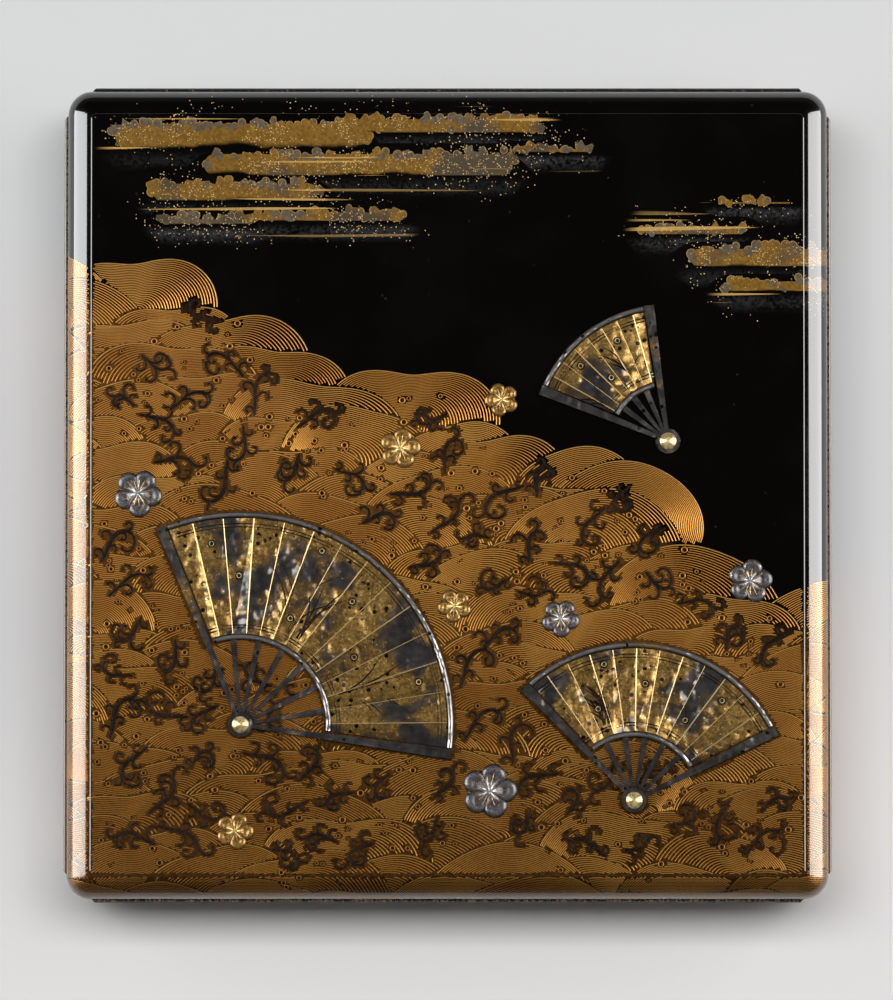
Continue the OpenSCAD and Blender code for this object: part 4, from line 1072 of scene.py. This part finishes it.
petal_metals = {
    "silver": petal_material("silver_petals", (0.02, 0.018, 0.02, 1), (0.1, 0.094, 0.1, 1),
                             (0.36, 0.35, 0.35, 1)),
    "gold": petal_material("gold_petals", (0.09, 0.04, 0.007, 1), (0.26, 0.14, 0.03, 1),
                           (0.62, 0.42, 0.15, 1)),
}
share, angle = np.meshgrid(np.linspace(0, 1, RINGS)[1:], np.arange(AROUND) * 2 * np.pi / AROUND,
                           indexing="ij")
for metal in ("silver", "gold"):
    petals, quads, caps, stamens, anthers = [], [], [], [], []
    for _, middle, radius, turn in [blossom for blossom in BLOSSOMS if blossom[0] == metal]:
        first = sum(len(part) for part in petals)
        heart = blossom_skin(middle, radius, turn, np.zeros(1), np.zeros(1))
        under = heart * [1, 1, 0] + [0, 0, PANEL_Z - 0.02 * MM]
        outline = blossom_skin(middle, radius, turn, share, angle).reshape(-1, 3)
        petals.append(np.concatenate([outline, heart, under]))
        ring, column = np.meshgrid(np.arange(RINGS - 2), np.arange(AROUND), indexing="ij")
        following = (column + 1) % AROUND
        wall = np.stack([ring * AROUND + column, (ring + 1) * AROUND + column,
                         (ring + 1) * AROUND + following, ring * AROUND + following], axis=-1)
        quads.append(first + wall.reshape(-1, 4))
        column, last = np.arange(AROUND), (RINGS - 2) * AROUND
        following = (column + 1) % AROUND
        top, bottom = np.full(AROUND, (RINGS - 1) * AROUND), np.full(AROUND, (RINGS - 1) * AROUND + 1)
        caps += [first + np.column_stack([top, column, following]),
                 first + np.column_stack([bottom, last + following, last + column])]
        stamen_angle = np.repeat(np.arange(STAMENS) * 2 * np.pi / STAMENS, STAMEN_POINTS)
        ends = np.repeat(rng.uniform(0.5, 0.66, STAMENS), STAMEN_POINTS)
        out = 0.2 + (ends - 0.2) * np.tile(np.linspace(0, 1, STAMEN_POINTS), STAMENS)
        stamens.append(blossom_skin(middle, radius, turn, out, stamen_angle))
        anthers.append(stamens[-1][STAMEN_POINTS - 1::STAMEN_POINTS])
    flowers = piece(metal + "_blossom_petals", np.concatenate(petals), np.concatenate(quads),
                    np.concatenate(caps), "lid", petal_metals[metal], metal + "_relief", True)
    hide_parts(metal + "_blossoms")
    stamens, anthers = np.concatenate(stamens), np.concatenate(anthers)
    upright = np.array([0.0, 0.0, 1.0])
    strokes(metal + "_blossom_stamens", (stamens, np.tile(upright, (len(stamens), 1))),
            np.arange(len(stamens)) % STAMEN_POINTS < STAMEN_POINTS - 1, 0.1 * MM, 0.07 * MM, "lid",
            gold_lines, "gold_relief", 3.0)
    rounds(metal + "_blossom_anthers", (anthers, np.tile(upright, (len(anthers), 1))),
           np.full(len(anthers), 0.26 * MM),
           [(0, 0.2 * MM), (0.6, 0.16 * MM), (1, -0.04 * MM), (0, -0.06 * MM)], "lid", gold_lines,
           "gold_relief")


# ---- Inkstone and water dropper ----
# The inkstone is cut from dark slate, with dried ink in its well and on its grinding face. The dropper is
# cast bronze with a brown patina that is rubbed bright on its rims.

def slate_material():
    """Fine dark slate with faint veins, black ink stains low down and pale rubbed rims."""
    material, n, shader, place = new_material("slate")
    z = n.axes(place)[2]
    top = float(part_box("inkstone")[1][2])
    grain = n.noise(place, 1400.0, 4.0, 0.6)
    cloud = n.noise(place, 60.0, 3.0, 0.6)
    vein = n.math("ABSOLUTE", n.math("SUBTRACT", n.noise(place, 38.0, 3.0), 0.5))
    vein = n.between(vein, 0.0, 0.012, 1.0, 0.0)
    colour = n.mix(n.between(grain, 0.3, 0.7), (0.022, 0.023, 0.027, 1), (0.048, 0.048, 0.054, 1))
    colour = n.mix(n.math("MULTIPLY", vein, 0.4), colour, (0.12, 0.12, 0.125, 1))
    low_down = n.between(z, top - 4 * MM, top - 1.2 * MM, 1.0, 0.0)
    ink = n.math("MULTIPLY", low_down, n.between(cloud, 0.36, 0.5))
    colour = n.mix(ink, colour, (0.004, 0.004, 0.005, 1))
    rim = n.math("MULTIPLY", n.between(z, top - 0.25 * MM, top), n.between(grain, 0.4, 0.6))
    colour = n.mix(n.math("MULTIPLY", rim, 0.35), colour, (0.15, 0.15, 0.155, 1))
    n.put(colour, shader["Base Color"])
    n.put(n.math("MULTIPLY_ADD", ink, -0.25, n.between(grain, 0.2, 0.8, 0.42, 0.62)), shader["Roughness"])
    bump(n, shader, grain, 0.03 * MM)
    return material


def bronze_material():
    """Brown patina over bronze, thinner where a broad noise says it is handled, and green in a few pits."""
    material, n, shader, place = new_material("dropper_bronze", Metallic=0.75)
    z = n.axes(place)[2]
    top = float(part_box("dropper_cover")[1][2])
    patina = n.noise(place, 140.0, 5.0, 0.65)
    colour = n.mix(n.between(patina, 0.38, 0.6), (0.16, 0.075, 0.03, 1), (0.36, 0.2, 0.085, 1))
    colour = n.mix(n.between(n.noise(place, 700.0, 2.0), 0.66, 0.74), colour, (0.07, 0.11, 0.075, 1))
    rubbed = n.between(z, top - 0.8 * MM, top - 0.2 * MM)
    colour = n.mix(n.math("MULTIPLY", rubbed, 0.6), colour, (0.72, 0.5, 0.24, 1))
    n.put(colour, shader["Base Color"])
    n.put(n.between(patina, 0.3, 0.7, 0.26, 0.48), shader["Roughness"])
    bump(n, shader, patina, 0.05 * MM)
    return material


dress("inkstone", slate_material())
bronze = bronze_material()
dress("dropper_cup", bronze)
dress("dropper_cover", bronze)


# ---- Brushes, knife and awl ----
# Handles are turned wood under black lacquer, with gold dust in dense and thin stretches. Blades are polished
# steel. The tufts are goat hair, drawn to a point, so they take the place of their plain solids.

def handle_material():
    """Black lacquer with gold dust, which lies in dense and thin stretches along the handle."""
    material, n, shader, place = new_material("handle_lacquer", Coat_Weight=1.0, Coat_Roughness=0.06,
                                              Coat_IOR=1.55)
    y = n.axes(place)[1]
    bands = n.between(n.math("SINE", n.math("MULTIPLY", y, 70.0)), -0.4, 0.9, 0.3, 0.95)
    flakes, flake_colour = dust(n, place, 2800.0, bands)
    colour = n.mix(flakes, (0.004, 0.003, 0.003, 1), flake_colour)
    n.put(colour, shader["Base Color"])
    n.put(n.noise(place, 300.0), shader["Roughness"])
    return material


def steel_material():
    """Steel rubbed along its length, with a few grey stains."""
    material, n, shader, place = new_material("steel", Metallic=0.9)
    stretched = n.stretched(place, (2500.0, 60.0, 2500.0))
    rubbed = n.noise(stretched, 1.0, 3.0)
    stain = n.noise(place, 160.0, 4.0, 0.6)
    colour = n.mix(n.between(stain, 0.5, 0.68), (0.5, 0.51, 0.53, 1), (0.2, 0.19, 0.18, 1))
    n.put(colour, shader["Base Color"])
    n.put(n.between(rubbed, 0.3, 0.7, 0.18, 0.4), shader["Roughness"])
    return material


def hair_material():
    """Pale hair with darker strands along it and an ink-grey tip."""
    material, n, shader, place = new_material("hair", Roughness=0.55, Sheen_Weight=0.2)
    y = n.axes(place)[1]
    stretched = n.stretched(place, (3000.0, 60.0, 3000.0))
    strands = n.noise(stretched, 1.0, 3.0, 0.6)
    colour = n.mix(n.between(strands, 0.3, 0.7), (0.28, 0.2, 0.12, 1), (0.62, 0.52, 0.38, 1))
    tip = float(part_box("brush_1_tuft")[1][1])
    dipped = n.between(n.math("MULTIPLY_ADD", strands, 8 * MM, y), tip - 16 * MM, tip - 6 * MM)
    colour = n.mix(dipped, colour, (0.02, 0.019, 0.02, 1))
    n.put(colour, shader["Base Color"])
    bump(n, shader, strands, 0.08 * MM)
    return material


def tuft(name, node_name, body, material):
    """A brush's hair: a round form that swells, then draws to a point, with fine grooves along it."""
    low, high = [np.array(corner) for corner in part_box(node_name)]
    middle, length, widest = (low + high) / 2, high[1] - low[1], (high[0] - low[0]) / 2
    around, rings = 96, 30
    t = np.linspace(0, 1, rings)
    profile = np.interp(t, [0, 0.3, 0.62, 0.87, 1], [0.9, 0.985, 0.73, 0.32, 0.03]) * widest
    angle = np.arange(around) * 2 * np.pi / around
    strands = np.cos(24 * angle + rng.uniform(0, 6.28)) + 0.6 * np.cos(37 * angle + rng.uniform(0, 6.28))
    radius = profile[:, None] * (1 - 0.02 * (1.6 - strands) * np.sin(np.pi * t[:, None]) ** 0.3)
    along = np.broadcast_to(low[1] + t[:, None] * length, radius.shape)
    vertices = np.stack([middle[0] + radius * np.cos(angle), along, middle[2] + radius * np.sin(angle)],
                        axis=-1).reshape(-1, 3)
    ring, turn = np.arange(rings - 1)[:, None] * around, np.arange(around)
    following = np.roll(turn, -1)
    quads = np.stack([ring + turn, ring + around + turn, ring + around + following, ring + following],
                     axis=-1)
    ends = np.array([[middle[0], low[1], middle[2]], [middle[0], high[1], middle[2]]])
    base, tip = len(vertices), len(vertices) + 1
    last = (rings - 1) * around
    caps = np.concatenate([np.column_stack([np.full(around, base), turn, following]),
                           np.column_stack([np.full(around, tip), last + following, last + turn])])
    made = piece(name, np.concatenate([vertices, ends]), quads.reshape(-1, 4), caps, body, material, "hair",
                 True)
    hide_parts(node_name)


handle_lacquer, steel, hair = handle_material(), steel_material(), hair_material()
for node_name in ("brush_1_handle", "brush_2_handle", "knife_handle", "awl_handle"):
    dress(node_name, handle_lacquer)
dress("knife_blade", steel)
dress("awl_spike", steel)
for number in ("1", "2"):
    tuft(f"brush_{number}_hair", f"brush_{number}_tuft", "brush_" + number, hair)


# ---- Ink stick ----
# A stick of pressed soot and glue. The mould leaves it a raised double frame, and the frame is gilded.
INK_LOW, INK_HIGH = [np.array(corner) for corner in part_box("ink_stick")]
FRAME_R, FRAME_INSETS, FRAME_POINTS = 2.2 * MM, (2.4 * MM, 3.6 * MM), 65


def soot_material():
    """Dense black soot, matt, with a faint brown bloom and fine scratches along it."""
    material, n, shader, place = new_material("soot_ink")
    bloom = n.noise(place, 120.0, 4.0, 0.6)
    stretched = n.stretched(place, (1800.0, 90.0, 1800.0))
    scratch = n.noise(stretched, 1.0, 2.0)
    colour = n.mix(n.between(bloom, 0.4, 0.66), (0.006, 0.006, 0.007, 1), (0.024, 0.019, 0.016, 1))
    n.put(colour, shader["Base Color"])
    n.put(n.between(scratch, 0.3, 0.7, 0.4, 0.65), shader["Roughness"])
    bump(n, shader, scratch, 0.02 * MM)
    return material


dress("ink_stick", soot_material())
around = np.linspace(0, 2 * np.pi, FRAME_POINTS)
outline = np.column_stack([np.cos(around), np.sin(around)])
corner = np.sign(np.round(outline, 6))
half = (INK_HIGH - INK_LOW)[:2] / 2
frame_xy = np.concatenate([corner * (half - inset - FRAME_R) + FRAME_R * outline for inset in FRAME_INSETS])
frame_xy += (INK_LOW + INK_HIGH)[:2] / 2
frame_places = np.column_stack([frame_xy, np.full(len(frame_xy), INK_HIGH[2])])
linked = np.tile(np.arange(FRAME_POINTS) < FRAME_POINTS - 1, len(FRAME_INSETS))
strokes("ink_stick_frame", (frame_places, np.tile([0.0, 0.0, 1.0], (len(frame_xy), 1))), linked, 0.22 * MM,
        0.15 * MM, "ink_stick", gold_lines, "gold_lined_lacquer", 1.4)
